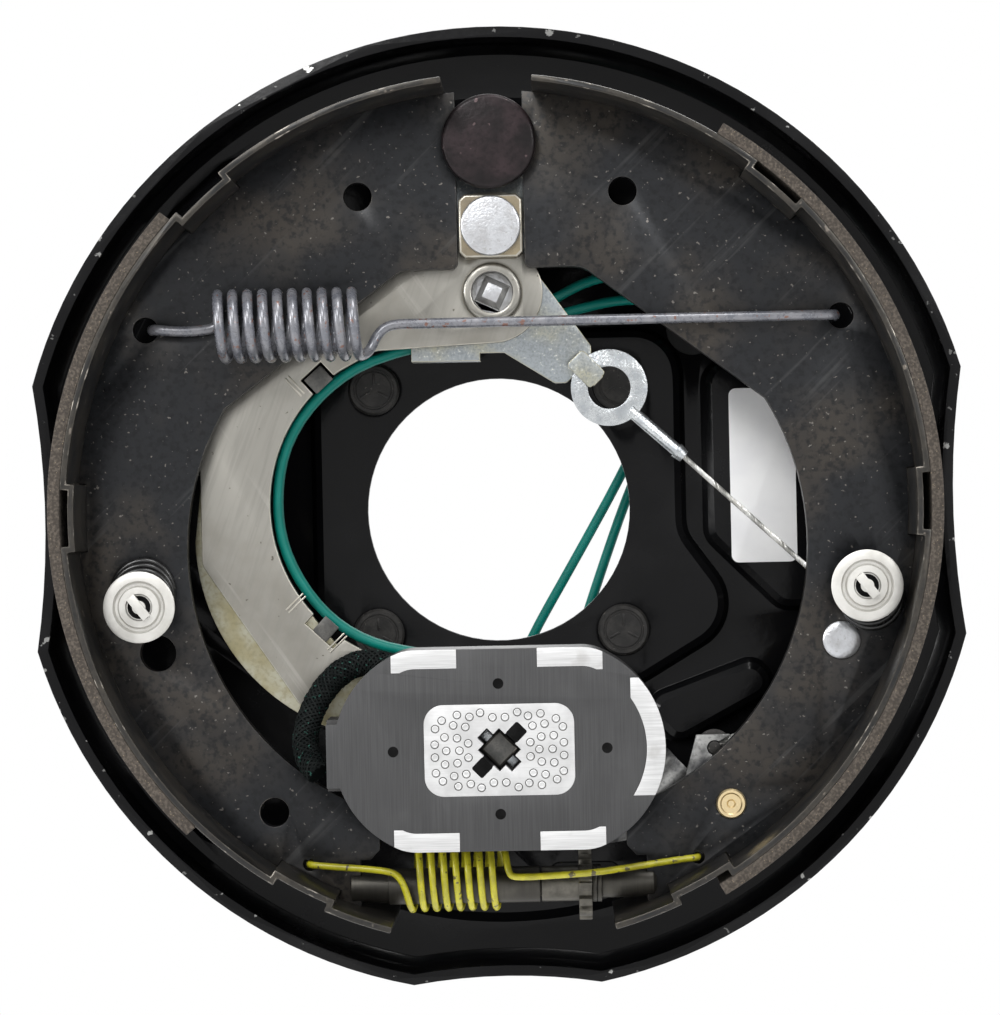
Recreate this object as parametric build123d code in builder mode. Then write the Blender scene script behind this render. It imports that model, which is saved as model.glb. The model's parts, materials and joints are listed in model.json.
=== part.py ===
from build123d import *
import os
from math import atan2, cos, degrees, hypot, pi, radians, sin, sqrt, tan

os.makedirs("parts", exist_ok=True)

# An electric trailer brake for a 10 inch drum, left hand, in millimetres.
# X is to the right as seen from the drum, Z is up and the drum is on the -Y side.
# The origin is the centre of the spindle hole on the mounting face, and a height is
# a distance from that face towards the drum.

# General clearances
running = 0.05
gap = 0.3
snug = 0.02

# Backing plate, one steel pressing
sheet = 3.2
rim_r = 142.8
rim_height = 15.0
floor_depth = 8.0
rim_bend = 4.5
pull_in_side = 134.2
pull_in_side_r = 252.5
pull_in_bottom = 137.8
pull_in_bottom_r = 170.0
step_r = 124.0
step_rise = 3.0
press_draft = 22.0
press_bend = 1.4
bore_r = 39.1
hub_half = 54.0
hub_top = 52.0
label_plateau_x = 63.0
shoe_ledge_r = 120.0
shoe_ledge_size = (15.0, 26.0)
shoe_ledge_angles = (48.0, 4.0, -42.0, 132.0, 176.0, 222.0)

# Mounting studs on a square
stud_pitch = 73.0
stud_r = 5.56
stud_knurl_r = 6.0
stud_head_r = 7.6
stud_head_t = 3.3
stud_length = 24.0

# Brake shoes: two mirrored webs, each with a rolled table and a lining
shoe_width = 57.0
shoe_back = 10.0
web_mid = 38.5
web_t = 5.0
table_r = 120.9
table_t = 1.8
table_top_deg = 84.0
table_bottom_deg = -75.0
dent_depth = 2.3
dent_deg = 7.5
dent_angles = (48.0, 0.0, -62.0)
lining_t = 3.4
primary_lining_deg = (137.2, 225.4)
secondary_lining_deg = (-60.2, 58.2)
slot_half = 9.7
slot_bottom_z = 69.6
web_inner_centre = (10.7, -10.0)
web_inner_r = 79.1
web_foot_rise = 13.33
web_hole_top = (38.2, 91.0, 4.1)
web_hole_spring = (100.2, 53.8, 3.7)
web_hole_pin = (104.5, -24.2, 6.0)
web_hole_guide = (98.5, -39.5, 5.2)
web_hole_pawl = (65.8, -86.0, 4.2)
web_hole_lower_spring = (56.0, -101.2, 1.9)

# Anchor post above the spindle hole
anchor_z = 105.9
anchor_r = 11.0
anchor_head_r = 13.6
anchor_head_t = 4.2
anchor_neck_r = 8.0
anchor_rivet_r = 11.5

# Actuating lever on its pivot pin
pivot_z = 62.9
pivot_r = 5.95
pivot_shoulder_r = 8.0
bushing_r = 8.5
bushing_proud = 2.2
lever_t = 3.2
arm_t = 3.2
lever_round_r = 14.6
block_z = 81.8
block_side = 18.5
block_chamfer = 1.7
block_t = 5.5
block_hole_r = 4.6
rivet_head_r = 8.7
rivet_head_t = 1.9

# Magnet on its post
magnet_z = -67.3
magnet_size = (93.2, 56.7)
magnet_flat_half = 26.0
magnet_back = 48.0
magnet_face = 70.0
magnet_face_t = 4.0
magnet_band = 5.3
post_side = 8.0
post_hole_side = 8.6
centre_plate_size = (42.2, 25.7)
centre_plate_corner = 5.5
cross_arm = 3.9
cross_reach = (13.6, 13.6)
coil_wall = 7.0
coil_band = 7.0

# Cable from the anchor plate to the pawl
anchor_plate_t = 2.5
eye_centre = (33.3, 34.7)
eye_outer_r = 11.1
eye_hole_r = 6.2
eye_t = 2.0
ferrule_r = 1.75
cable_r = 0.72
ferrule_start = (39.2, 28.1)
ferrule_end = (54.6, 14.2)
guide_flange_r = 13.0
guide_groove_r = 8.6
guide_width = 5.6
guide_flange_t = 1.2

# Adjuster between the lower ends of the shoes
adjuster_z = -108.3
adjuster_half = 44.0
adjuster_slot_depth = 3.0
nut_r = 5.2
nut_end_x = 10.3
fork_r = 4.6
thread_r = 3.5
collar_r = 5.1
star_x = (21.5, 25.3)
star_r = 10.5
star_root_r = 8.7
star_teeth = 14
washer_t = 1.3
cap_r = 4.3

# Springs
retractor_wire_r = 1.42
retractor_r = 9.2
retractor_pitch = 4.25
retractor_turns = 9.75
retractor_start_x = -79.2
retractor_z = 53.8
lower_wire_r = 1.0
lower_r = 9.5
lower_pitch = 3.45
lower_turns = 7.5
lower_start_x = -26.4
lower_z = -105.3
hold_down_wire_r = 1.0
hold_down_r = 8.6
hold_down_turns = 3.5
magnet_wire_r = 0.9
magnet_spring_r = (12.0, 8.0)
magnet_spring_turns = 2.5
spring_steps = 10

# Hold-down cups, pins and the shift of each spring's foot
cup_r = 10.2
cup_groove_r = (5.9, 7.4)
cup_height = 55.0
cup_t = 1.3
pin_r = 1.9
pin_head = (7.6, 2.6, 1.5)
primary_cup = (-102.0, -25.7)
primary_foot = (-102.3, -21.0)
secondary_cup = (105.0, -23.7)
secondary_foot = (107.8, -28.4)

# Wires
wire_r = 1.5
sleeve_r = 3.75
grommet = (59.0, 53.0)
grommet_r = 6.5
grommet_flange_r = 7.8
grommet_half_spread = 2.2

# Heights that follow from the sizes above
floor_front = sheet - floor_depth
web_back = web_mid - web_t / 2
web_front = web_mid + web_t / 2
inner_floor = floor_front + step_rise
lever_front = web_back - gap
lever_back = lever_front - lever_t
arm_back = lever_back - arm_t
anchor_plate_front = lever_back - gap
anchor_plate_back = anchor_plate_front - anchor_plate_t
block_back = lever_front + snug
block_front = block_back + block_t
pawl_front = web_back - gap
pawl_t = 2.9
pawl_back = pawl_front - pawl_t
table_outer_r = table_r + table_t
lining_r = table_outer_r + lining_t
adjuster_web_x = adjuster_half - adjuster_slot_depth + gap
slot_place = ((star_x[0] + star_x[1]) / 2, adjuster_z - 2.0)
slot_size = (22.0, 8.0)


def front(height):
    """Plane at a height over the mounting face; its x is X and its y is Z."""
    return Plane.XZ.offset(height)


def point(x, height, z):
    """Point of the model at x and z, at a height over the mounting face."""
    return (x, -height, z)


def ring_sector(inner_r, outer_r, start, stop):
    """Face of a ring's sector between two angles in degrees."""
    with BuildSketch() as sector:
        with BuildLine():
            outer = CenterArc((0, 0), outer_r, start, stop - start)
            inner = CenterArc((0, 0), inner_r, start, stop - start)
            Line(outer @ 0, inner @ 0)
            Line(outer @ 1, inner @ 1)
        make_face()
    return sector.sketch


def disc(radius, low, high, x=0.0, z=0.0):
    """Plain round piece between two heights."""
    with BuildPart() as piece:
        with BuildSketch(front(low)):
            with Locations((x, z)):
                Circle(radius)
        extrude(amount=high - low)
    return piece.part


def rod(route, radii, radius, sides=6):
    """Wire or cable along straight runs joined by tangent arcs."""
    with BuildLine() as line:
        FilletPolyline(*route, radius=radii)
    path = line.wires()[0]
    # A polygon's corner radius for the same section area as the round wire
    corner_r = radius * sqrt(2 * pi / (sides * sin(2 * pi / sides)))
    with BuildPart() as piece:
        with BuildSketch(Plane(origin=path @ 0, z_dir=path % 0)):
            RegularPolygon(corner_r, sides)
        sweep(path=path)
    expected = pi * radius**2 * path.length
    print("rod length", round(path.length, 1), "volume ratio", round(piece.part.volume / expected, 4))
    return piece


def cord_radii(route):
    """Bend radius for each corner of a cord's route: 0.45 of its shorter run over tan(half turn)."""
    corners = [Vector(*p) for p in route]
    radii = []
    for before, at, after in zip(corners, corners[1:], corners[2:]):
        turn = (at - before).get_angle(after - at)
        shorter = min((at - before).length, (after - at).length)
        radii.append(0.45 * shorter / sin(radians(turn / 2)) * cos(radians(turn / 2)))
    print("cord radii", [round(r, 1) for r in radii])
    return radii


def bent_spring(points, wire):
    """Spring of round wire along short straight runs, as one solid."""
    corner_r = wire * 1.1
    with BuildLine() as line:
        Polyline(points)
    path = line.wires()[0]
    with BuildPart() as piece:
        with BuildSketch(Plane(origin=path @ 0, z_dir=path % 0)):
            RegularPolygon(corner_r, 5)
        sweep(path=path, transition=Transition.RIGHT)
    return piece


def coil_along_x(start_x, height, z, radius, pitch, turns, first_angle):
    """Points of a coil about an axis along X; angle 0 is at the back and 90 at the top."""
    count = int(turns * spring_steps)
    places = []
    for step in range(count + 1):
        angle = radians(first_angle + 360 * step / spring_steps)
        x = start_x + pitch * step / spring_steps
        places.append(point(x, height - radius * cos(angle), z + radius * sin(angle)))
    return places


def coil_towards_drum(foot, head, low, high, radii, turns):
    """Points of a coil that stands on the plate side and leans from its foot to its head."""
    count = int(turns * spring_steps)
    places = []
    for step in range(count + 1):
        share = step / count
        angle = 2 * pi * step / spring_steps
        radius = radii[0] + (radii[1] - radii[0]) * share
        x = foot[0] + (head[0] - foot[0]) * share + radius * cos(angle)
        z = foot[1] + (head[1] - foot[1]) * share + radius * sin(angle)
        places.append(point(x, low + (high - low) * share, z))
    return places


# Backing plate: a dished pressing whose rim is pulled in at both sides and below
def rim_outline(height, inset):
    """Plate outline at a height, drawn in all round by the inset."""
    with BuildSketch(front(height)) as outline:
        Circle(rim_r - inset)
        with Locations(
            (pull_in_side + pull_in_side_r, 0),
            (-pull_in_side - pull_in_side_r, 0),
        ):
            Circle(pull_in_side_r + inset, mode=Mode.SUBTRACT)
        with Locations((0, -pull_in_bottom - pull_in_bottom_r)):
            Circle(pull_in_bottom_r + inset, mode=Mode.SUBTRACT)
    return outline.sketch


def pressing(corners, corner_r, top, inset=0.0):
    """Drafted form pressed out of the floor up to a height, from its outline at the top."""
    with BuildPart() as form:
        with BuildSketch(front(top)) as outline:
            with BuildLine():
                Polyline(*corners, close=True)
            make_face()
            fillet(outline.vertices(), corner_r)
            if inset:
                offset(amount=-inset, mode=Mode.REPLACE)
        extrude(amount=-(top + floor_depth), taper=-press_draft)
    return form


def pressed_front(corners, corner_r, top):
    """Drum side of a pressing, with its upper edge eased."""
    form = pressing(corners, corner_r, top)
    with BuildPart() as eased:
        add(form.part)
        chamfer(eased.faces().sort_by(Axis.Y)[0].edges(), press_bend)
    return eased.part


def pressed_back(corners, corner_r, top):
    """Hollow behind a pressing, one sheet thickness under its face."""
    wall = sheet / cos(radians(press_draft)) - sheet * sin(radians(press_draft)) / cos(radians(press_draft))
    return pressing(corners, corner_r, top - sheet, wall).part


hub_corners = (
    (-hub_half, hub_top),
    (-hub_half, -hub_top),
    (40.0, -hub_top),
    (72.0, -33.0),
    (hub_half, -8.0),
    (hub_half, hub_top),
)
label_corners = (
    (label_plateau_x, 42.0),
    (label_plateau_x, -9.0),
    (84.0, -30.0),
    (99.0, -30.0),
    (99.0, 42.0),
)
rib_corners = (
    (42.0, -59.0),
    (75.0, -47.0),
    (82.0, -54.0),
    (52.0, -70.0),
)
ledge_length, ledge_width = shoe_ledge_size[1], shoe_ledge_size[0]
ledge_corners = tuple(
    (shoe_ledge_r + side * ledge_width / 2, end * ledge_length / 2)
    for side, end in ((-1, -1), (1, -1), (1, 1), (-1, 1))
)

with BuildPart() as dish_inside:
    extrude(rim_outline(floor_front, sheet), amount=rim_height + floor_depth)
    chamfer(dish_inside.faces().sort_by(Axis.Y)[-1].edges(), rim_bend - sheet * tan(radians(30)))

with BuildPart() as step_front:
    with BuildSketch(front(inner_floor)):
        Circle(step_r - step_rise)
    extrude(amount=-step_rise - sheet / 2, taper=-45)

with BuildPart() as step_back:
    with BuildSketch(front(inner_floor - sheet)):
        Circle(step_r - step_rise - sheet * 0.4)
    extrude(amount=-step_rise - snug, taper=-45)

with BuildPart() as backing_plate:
    extrude(rim_outline(-floor_depth, 0), amount=rim_height + floor_depth)
    chamfer(backing_plate.faces().sort_by(Axis.Y)[-1].edges(), rim_bend)
    add(dish_inside.part, mode=Mode.SUBTRACT)
    add(step_front.part)
    add(pressed_front(hub_corners, 13.0, sheet))
    add(pressed_front(label_corners, 6.0, sheet))
    add(pressed_front(rib_corners, 4.5, sheet))
    ledge_front = pressed_front(ledge_corners, 4.0, shoe_back - gap)
    ledge_back = pressed_back(ledge_corners, 4.0, shoe_back - gap)
    for angle in shoe_ledge_angles:
        add(ledge_front.rotate(Axis.Y, -angle))
    add(step_back.part, mode=Mode.SUBTRACT)
    add(pressed_back(hub_corners, 13.0, sheet), mode=Mode.SUBTRACT)
    add(pressed_back(label_corners, 6.0, sheet), mode=Mode.SUBTRACT)
    add(pressed_back(rib_corners, 4.5, sheet), mode=Mode.SUBTRACT)
    for angle in shoe_ledge_angles:
        add(ledge_back.rotate(Axis.Y, -angle), mode=Mode.SUBTRACT)
    with BuildSketch(front(-floor_depth - 1)):
        Circle(bore_r)
        with GridLocations(stud_pitch, stud_pitch, 2, 2):
            Circle(stud_knurl_r + snug)
        with Locations((0, anchor_z)):
            Circle(anchor_neck_r + snug)
        with Locations((0, pivot_z)):
            Circle(pivot_r + snug)
        with Locations(primary_cup, secondary_cup):
            Circle(pin_r + gap)
        with Locations(grommet):
            Circle(grommet_r + snug)
        with Locations(slot_place):
            SlotOverall(*slot_size)
    extrude(amount=2 * floor_depth, mode=Mode.SUBTRACT)

# Four studs pressed into the hub, their round heads on the drum side
with BuildPart() as mounting_studs:
    with BuildSketch(front(sheet)):
        with GridLocations(stud_pitch, stud_pitch, 2, 2):
            Circle(stud_head_r)
    extrude(amount=stud_head_t)
    with BuildSketch(front(0)):
        with GridLocations(stud_pitch, stud_pitch, 2, 2):
            Circle(stud_knurl_r)
    extrude(amount=sheet)
    with BuildSketch(front(0)):
        with GridLocations(stud_pitch, stud_pitch, 2, 2):
            Circle(stud_r)
    extrude(amount=-stud_length)

# Anchor post: a riveted neck, a thick shank and a flat head over the web ends
with BuildPart() as anchor_post:
    add(disc(anchor_r, inner_floor, web_front + gap, 0, anchor_z))
    add(disc(anchor_head_r, web_front + gap, web_front + gap + anchor_head_t, 0, anchor_z))
    chamfer(anchor_post.faces().sort_by(Axis.Y)[0].edges(), 0.8)
    add(disc(anchor_neck_r, inner_floor - sheet, inner_floor, 0, anchor_z))
    add(disc(anchor_rivet_r, inner_floor - sheet - 2.4, inner_floor - sheet, 0, anchor_z))

# Pivot pin of the lever, staked four-square at its drum end
with BuildPart() as lever_pivot_pin:
    add(disc(pivot_shoulder_r, inner_floor, anchor_plate_back, 0, pivot_z))
    add(disc(pivot_r, anchor_plate_back, lever_front - 2.2, 0, pivot_z))
    with BuildSketch(front(lever_front - 2.2)):
        with Locations((0, pivot_z)):
            RegularPolygon(pivot_r - 0.4, 4, rotation=20)
    extrude(amount=2.4, taper=35)
    add(disc(pivot_r, inner_floor - sheet, inner_floor, 0, pivot_z))
    add(disc(pivot_shoulder_r, inner_floor - sheet - 2.0, inner_floor - sheet, 0, pivot_z))

# Anchor plate of the cable: it hangs on the pivot pin and the anchor post and ends in a hook
rest_z = pivot_z - 17.3
strap_half = anchor_r + 2.0
strap_end = anchor_r + 1.1
with BuildPart() as cable_anchor_plate:
    with BuildSketch(front(anchor_plate_back)) as plate_outline:
        with BuildLine():
            Polyline(
                (-strap_half, anchor_z + strap_end), (strap_half, anchor_z + strap_end),
                (strap_half, pivot_z + 5.5), (28.3, rest_z + 1.4), (28.3, rest_z - 2.6),
                (21.0, rest_z - 9.2), (17.6, rest_z - 9.2), (3.0, rest_z),
                (-24.0, rest_z), (-24.0, rest_z + 6.4), (-strap_half, pivot_z - 2.9), close=True,
            )
        make_face()
        fillet(plate_outline.vertices().group_by(Axis.Y)[-1], 0.8 * anchor_r)
        fillet(plate_outline.vertices().group_by(Axis.Y)[0], 1.6)
        with Locations((0, pivot_z)):
            Circle(pivot_r + snug, mode=Mode.SUBTRACT)
        with Locations((0, anchor_z)):
            Circle(anchor_r + snug, mode=Mode.SUBTRACT)
    extrude(amount=anchor_plate_t)
    # Wire rest, bent back along the plate's left arm
    with BuildSketch(Plane.XY.offset(rest_z)):
        with Locations((-14.0, -(anchor_plate_front + anchor_plate_back - 8) / 2)):
            Rectangle(20.0, anchor_plate_t + 8)
    extrude(amount=-2.2)
    # Hook through the eye, folded over its rim
    hook_plane = Plane(
        origin=point(26.6, anchor_plate_front, 40.3), x_dir=(0.7, 0, -0.72), z_dir=(0, -1, 0)
    )
    with BuildSketch(hook_plane):
        with Locations((4.4, 0)):
            Rectangle(1.8, 3.6)
    extrude(amount=eye_t + 2 * gap + 1.6)
    with BuildSketch(hook_plane.offset(eye_t + 2 * gap)):
        with Locations((0.2, 0)):
            RectangleRounded(9.6, 6.4, 1.0)
    extrude(amount=1.6)
    with BuildSketch(hook_plane.offset(-anchor_plate_t)):
        with Locations((1.9, 0)):
            Rectangle(6.8, 3.6)
    extrude(amount=anchor_plate_t)

# Eye of the cable: a flat ring with a swaged ferrule
eye_back = anchor_plate_front + gap
eye_front = eye_back + eye_t
cable_height = (eye_back + eye_front) / 2
ferrule_angle = degrees(
    atan2(ferrule_end[1] - ferrule_start[1], ferrule_end[0] - ferrule_start[0])
)
ferrule_length = hypot(ferrule_end[0] - ferrule_start[0], ferrule_end[1] - ferrule_start[1])
along_cable = Vector(cos(radians(ferrule_angle)), 0, sin(radians(ferrule_angle)))
with BuildPart() as cable_eye:
    with BuildSketch(front(eye_back)):
        with Locations(eye_centre):
            Circle(eye_outer_r)
            Circle(eye_hole_r, mode=Mode.SUBTRACT)
    extrude(amount=eye_t)
    neck_start = Vector(*point(ferrule_start[0], cable_height, ferrule_start[1]))
    with BuildSketch(Plane(origin=neck_start, z_dir=along_cable)):
        RegularPolygon(ferrule_r * 1.05, 12)
    extrude(amount=ferrule_length)
    tip_plane = Plane(origin=neck_start + along_cable * (ferrule_length - 3.0), z_dir=along_cable)
    with BuildSketch(tip_plane):
        RegularPolygon(ferrule_r * 1.35, 12)
    extrude(amount=3.0, taper=10)
    with BuildSketch(Plane(origin=neck_start + along_cable * ferrule_length, z_dir=-along_cable)):
        Circle(cable_r + snug)
    extrude(amount=4.0, mode=Mode.SUBTRACT)

# Grooved guide on the secondary web, and the cable's route around it
guide_x, guide_z, guide_hole_r = web_hole_guide
guide_front = web_back
guide_back = guide_front - guide_width
guide_wrap_r = guide_groove_r + cable_r + snug
with BuildPart() as cable_guide:
    add(disc(guide_flange_r, guide_back, guide_back + guide_flange_t, guide_x, guide_z))
    add(disc(guide_groove_r, guide_back, guide_front, guide_x, guide_z))
    add(disc(guide_flange_r, guide_front - guide_flange_t, guide_front, guide_x, guide_z))
    add(disc(guide_hole_r - running + snug, guide_back, guide_front, guide_x, guide_z), mode=Mode.SUBTRACT)

with BuildPart() as guide_rivet:
    add(disc(guide_hole_r - running, guide_back, web_front, guide_x, guide_z))
    add(disc(guide_hole_r + 0.4, web_front, web_front + 1.0, guide_x, guide_z))
    chamfer(guide_rivet.faces().sort_by(Axis.Y)[0].edges(), 0.4)
    add(disc(guide_hole_r + 1.8, guide_back - 1.2, guide_back, guide_x, guide_z))


def tangent_point(outside, sign):
    """Point on the cable's wrap circle where a run to an outside point leaves it."""
    dx, dz = guide_x - outside[0], guide_z - outside[1]
    distance = hypot(dx, dz)
    run = sqrt(distance**2 - guide_wrap_r**2)
    angle = atan2(dz, dx) + sign * atan2(guide_wrap_r, run)
    return (outside[0] + run * cos(angle), outside[1] + run * sin(angle))


link_hole = (61.6, -70.2)
link_hook_r = 1.9
guide_mid = (guide_back + guide_front) / 2
touch_on = tangent_point(ferrule_end, 1)
touch_off = tangent_point(link_hole, -1)
with BuildPart() as adjuster_cable:
    with BuildLine() as cable_line:
        cable_start = point(
            ferrule_end[0] - 3.5 * along_cable.X, cable_height, ferrule_end[1] - 3.5 * along_cable.Z
        )
        Line(cable_start, point(touch_on[0], guide_mid, touch_on[1]))
        on_angle = atan2(touch_on[1] - guide_z, touch_on[0] - guide_x)
        off_angle = atan2(touch_off[1] - guide_z, touch_off[0] - guide_x)
        middle = (on_angle + off_angle) / 2
        ThreePointArc(
            point(touch_on[0], guide_mid, touch_on[1]),
            point(
                guide_x + guide_wrap_r * cos(middle),
                guide_mid,
                guide_z + guide_wrap_r * sin(middle),
            ),
            point(touch_off[0], guide_mid, touch_off[1]),
        )
        toward_link = Vector(link_hole[0] - touch_off[0], link_hole[1] - touch_off[1]).normalized()
        Line(
            point(touch_off[0], guide_mid, touch_off[1]),
            point(
                link_hole[0] - link_hook_r * toward_link.X, guide_mid, link_hole[1] - link_hook_r * toward_link.Y
            ),
        )
    cable_path = cable_line.wires()[0]
    with BuildSketch(Plane(origin=cable_path @ 0, z_dir=cable_path % 0)):
        RegularPolygon(cable_r, 8)
    sweep(path=cable_path)

# Brake shoes
dent_reach = degrees(table_t / table_r)


def web_outline():
    """Outline of the right-hand web, which is mirrored for the left."""
    notch_r = anchor_r + gap
    notch_dz = sqrt(notch_r**2 - slot_half**2)
    top_z = sqrt(table_r**2 - slot_half**2)
    foot_z = -sqrt(table_r**2 - adjuster_web_x**2)
    centre_x, centre_z = web_inner_centre
    bottom_z = foot_z + web_foot_rise
    arc_start = (78.0, 30.6)
    arc_end = (42.6, bottom_z + 16.3)
    arc_mid = (centre_x + web_inner_r * cos(radians(-21)), centre_z + web_inner_r * sin(radians(-21)))
    with BuildSketch() as outline:
        with BuildLine():
            Line((slot_half, top_z), (slot_half, anchor_z + notch_dz))
            ThreePointArc(
                (slot_half, anchor_z + notch_dz), (notch_r, anchor_z), (slot_half, anchor_z - notch_dz)
            )
            Polyline(
                (slot_half, anchor_z - notch_dz), (slot_half, slot_bottom_z),
                (26.2, slot_bottom_z), arc_start,
            )
            ThreePointArc(arc_start, arc_mid, arc_end)
            Polyline(
                arc_end, (35.6, bottom_z + 9.3), (35.6, bottom_z + 3.0), (38.4, bottom_z),
                (adjuster_web_x, bottom_z), (adjuster_web_x, foot_z),
            )
            ThreePointArc((adjuster_web_x, foot_z), (table_r, 0), (slot_half, top_z))
        make_face()
        corner = outline.vertices().sort_by_distance((26.2, slot_bottom_z))[0]
        fillet(corner, 8)
        corner = outline.vertices().sort_by_distance((slot_half, slot_bottom_z))[0]
        fillet(corner, 2)
        for angle in dent_angles:
            reach = dent_deg / 2 + dent_reach + 0.1
            add(
                ring_sector(table_r - dent_depth, table_r + 1, angle - reach, angle + reach),
                mode=Mode.SUBTRACT,
            )
        for x, z, radius in (
            web_hole_top,
            web_hole_spring,
            web_hole_pin,
            web_hole_guide,
            web_hole_pawl,
            web_hole_lower_spring,
        ):
            with Locations((x, z)):
                Circle(radius, mode=Mode.SUBTRACT)
    return outline.sketch


def table_outline():
    """Section of the right-hand table, with its stiffening dents pressed inwards."""
    with BuildSketch() as outline:
        add(ring_sector(table_r, table_outer_r, table_bottom_deg, table_top_deg))
        for angle in dent_angles:
            reach = dent_deg / 2 + dent_reach
            add(ring_sector(table_r - dent_depth, table_outer_r, angle - reach, angle + reach))
            add(
                ring_sector(
                    table_outer_r - dent_depth, table_outer_r + 1, angle - dent_deg / 2, angle + dent_deg / 2
                ),
                mode=Mode.SUBTRACT,
            )
    return outline.sketch


with BuildPart() as secondary_web:
    with BuildSketch(front(web_back)):
        add(web_outline())
    extrude(amount=web_t)

with BuildPart() as secondary_table:
    with BuildSketch(front(shoe_back)):
        add(table_outline())
    extrude(amount=shoe_width)

with BuildPart() as primary_web:
    mirror(secondary_web.part, about=Plane.YZ)

with BuildPart() as primary_table:
    mirror(secondary_table.part, about=Plane.YZ)

with BuildPart() as secondary_lining:
    with BuildSketch(front(shoe_back)):
        add(ring_sector(table_outer_r, lining_r, *secondary_lining_deg))
    extrude(amount=shoe_width)

with BuildPart() as primary_lining:
    with BuildSketch(front(shoe_back)):
        add(ring_sector(table_outer_r, lining_r, *primary_lining_deg))
    extrude(amount=shoe_width)

# Pin of the pawl, riveted in the secondary web
pawl_x, pawl_z, pawl_hole_r = web_hole_pawl
with BuildPart() as pawl_pin:
    add(disc(pawl_hole_r - running, pawl_back - gap, web_front + 0.9, pawl_x, pawl_z))
    chamfer(pawl_pin.faces().sort_by(Axis.Y)[0].edges(), 0.5)
    add(disc(6.4, pawl_back - gap - 1.4, pawl_back - gap, pawl_x, pawl_z))

pawl_tip_z = adjuster_z + star_r + gap
# Pawl: a lever behind the web, with a rolled flange, that ends over the star wheel
with BuildPart() as pawl_lever:
    with BuildSketch(front(pawl_back)) as pawl_outline:
        with BuildLine():
            Polyline(
                (star_x[0] + 0.6, pawl_tip_z), (star_x[0] + 0.6, -94.2), (36.0, -88.6), (52.6, -79.6),
                (56.4, -66.4), (66.0, -66.4), (74.0, -84.0), (71.0, -94.0), (58.0, -93.6),
                (40.0, -95.6), (33.0, pawl_tip_z + 0.6), (27.6, pawl_tip_z), close=True,
            )
        make_face()
        fillet(pawl_outline.vertices().sort_by_distance((74.0, -84.0))[0], 6)
        fillet(pawl_outline.vertices().sort_by_distance((71.0, -94.0))[0], 5)
        with Locations((pawl_x, pawl_z)):
            Circle(pawl_hole_r, mode=Mode.SUBTRACT)
        # Slot that the cable's end drops into
        slot_run = degrees(atan2(-toward_link.Y, -toward_link.X))
        with Locations(Location(link_hole, slot_run)):
            Circle(link_hook_r + gap, mode=Mode.SUBTRACT)
            with Locations((5.0, 0)):
                Rectangle(10.0, 2 * (cable_r + gap), mode=Mode.SUBTRACT)
    extrude(amount=pawl_t)
    # Rolled flange: half a tube along the arm, open towards the plate
    roll_r = 6.0
    roll_start = Vector(*point(37.6, pawl_front - roll_r, -88.4))
    roll_along = Vector(14.6, 0, 13.8).normalized()
    with BuildSketch(Plane(origin=roll_start, x_dir=(0, -1, 0), z_dir=roll_along)) as roll:
        Circle(roll_r)
        Circle(roll_r - 1.6, mode=Mode.SUBTRACT)
        with Locations((-roll_r, 0)):
            Rectangle(2 * roll_r, 3 * roll_r, mode=Mode.SUBTRACT)
    extrude(amount=20.0)

# Black link that hooks the cable's end to the pawl
with BuildPart() as cable_link:
    with BuildSketch(front(pawl_back - gap - 1.2)):
        with Locations(link_hole):
            Circle(5.2)
    extrude(amount=1.2)
    add(disc(link_hook_r, pawl_back - gap, pawl_front + 0.2, *link_hole))

# Lever: the silver front plate
inner_top, inner_mid, inner_end = (-45.0, 41.0), (-65.7, 2.0), (-38.4, -40.5)
clip_window = (11.0, 5.6)
with BuildPart() as actuating_lever:
    with BuildSketch(front(lever_back)) as lever_outline:
        with BuildLine():
            Line((-9.1, 92.0), (9.1, 92.0))
            Line((9.1, 92.0), (9.1, pivot_z + sqrt(lever_round_r**2 - 9.1**2)))
            ThreePointArc(
                (9.1, pivot_z + sqrt(lever_round_r**2 - 9.1**2)),
                (lever_round_r, pivot_z),
                (0, pivot_z - lever_round_r),
            )
            Polyline((0, pivot_z - lever_round_r), (-34.5, 46.7), inner_top)
            ThreePointArc(inner_top, inner_mid, inner_end)
            Polyline(
                inner_end, (-58.2, -55.5), (-85.8, -14.5), (-85.8, 24.0),
                (-58.0, 66.0), (-22.0, 78.0), (-9.1, 78.0), (-9.1, 92.0),
            )
        make_face()
        fillet(lever_outline.vertices().sort_by_distance((-34.5, 46.7))[0], 6)
        fillet(lever_outline.vertices().sort_by_distance((-85.8, -14.5))[0], 6)
        fillet(lever_outline.vertices().sort_by_distance((-85.8, 24.0))[0], 14)
        fillet(lever_outline.vertices().sort_by_distance((-58.0, 66.0))[0], 14)
        fillet(lever_outline.vertices().group_by(Axis.Y)[-1], 6)
        with Locations((0, pivot_z)):
            Circle(bushing_r + snug, mode=Mode.SUBTRACT)
        with Locations((0, block_z)):
            Circle(block_hole_r - running + snug, mode=Mode.SUBTRACT)
        # Notch of the upper wire clip
        with Locations(Location((-50.8, 38.6), 42)):
            Rectangle(8.0, 7.0, mode=Mode.SUBTRACT)
        # Window of the lower wire clip
        with Locations(Location((-50.3, -33.6), -43)):
            Rectangle(*clip_window, mode=Mode.SUBTRACT)
    extrude(amount=lever_t)

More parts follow.
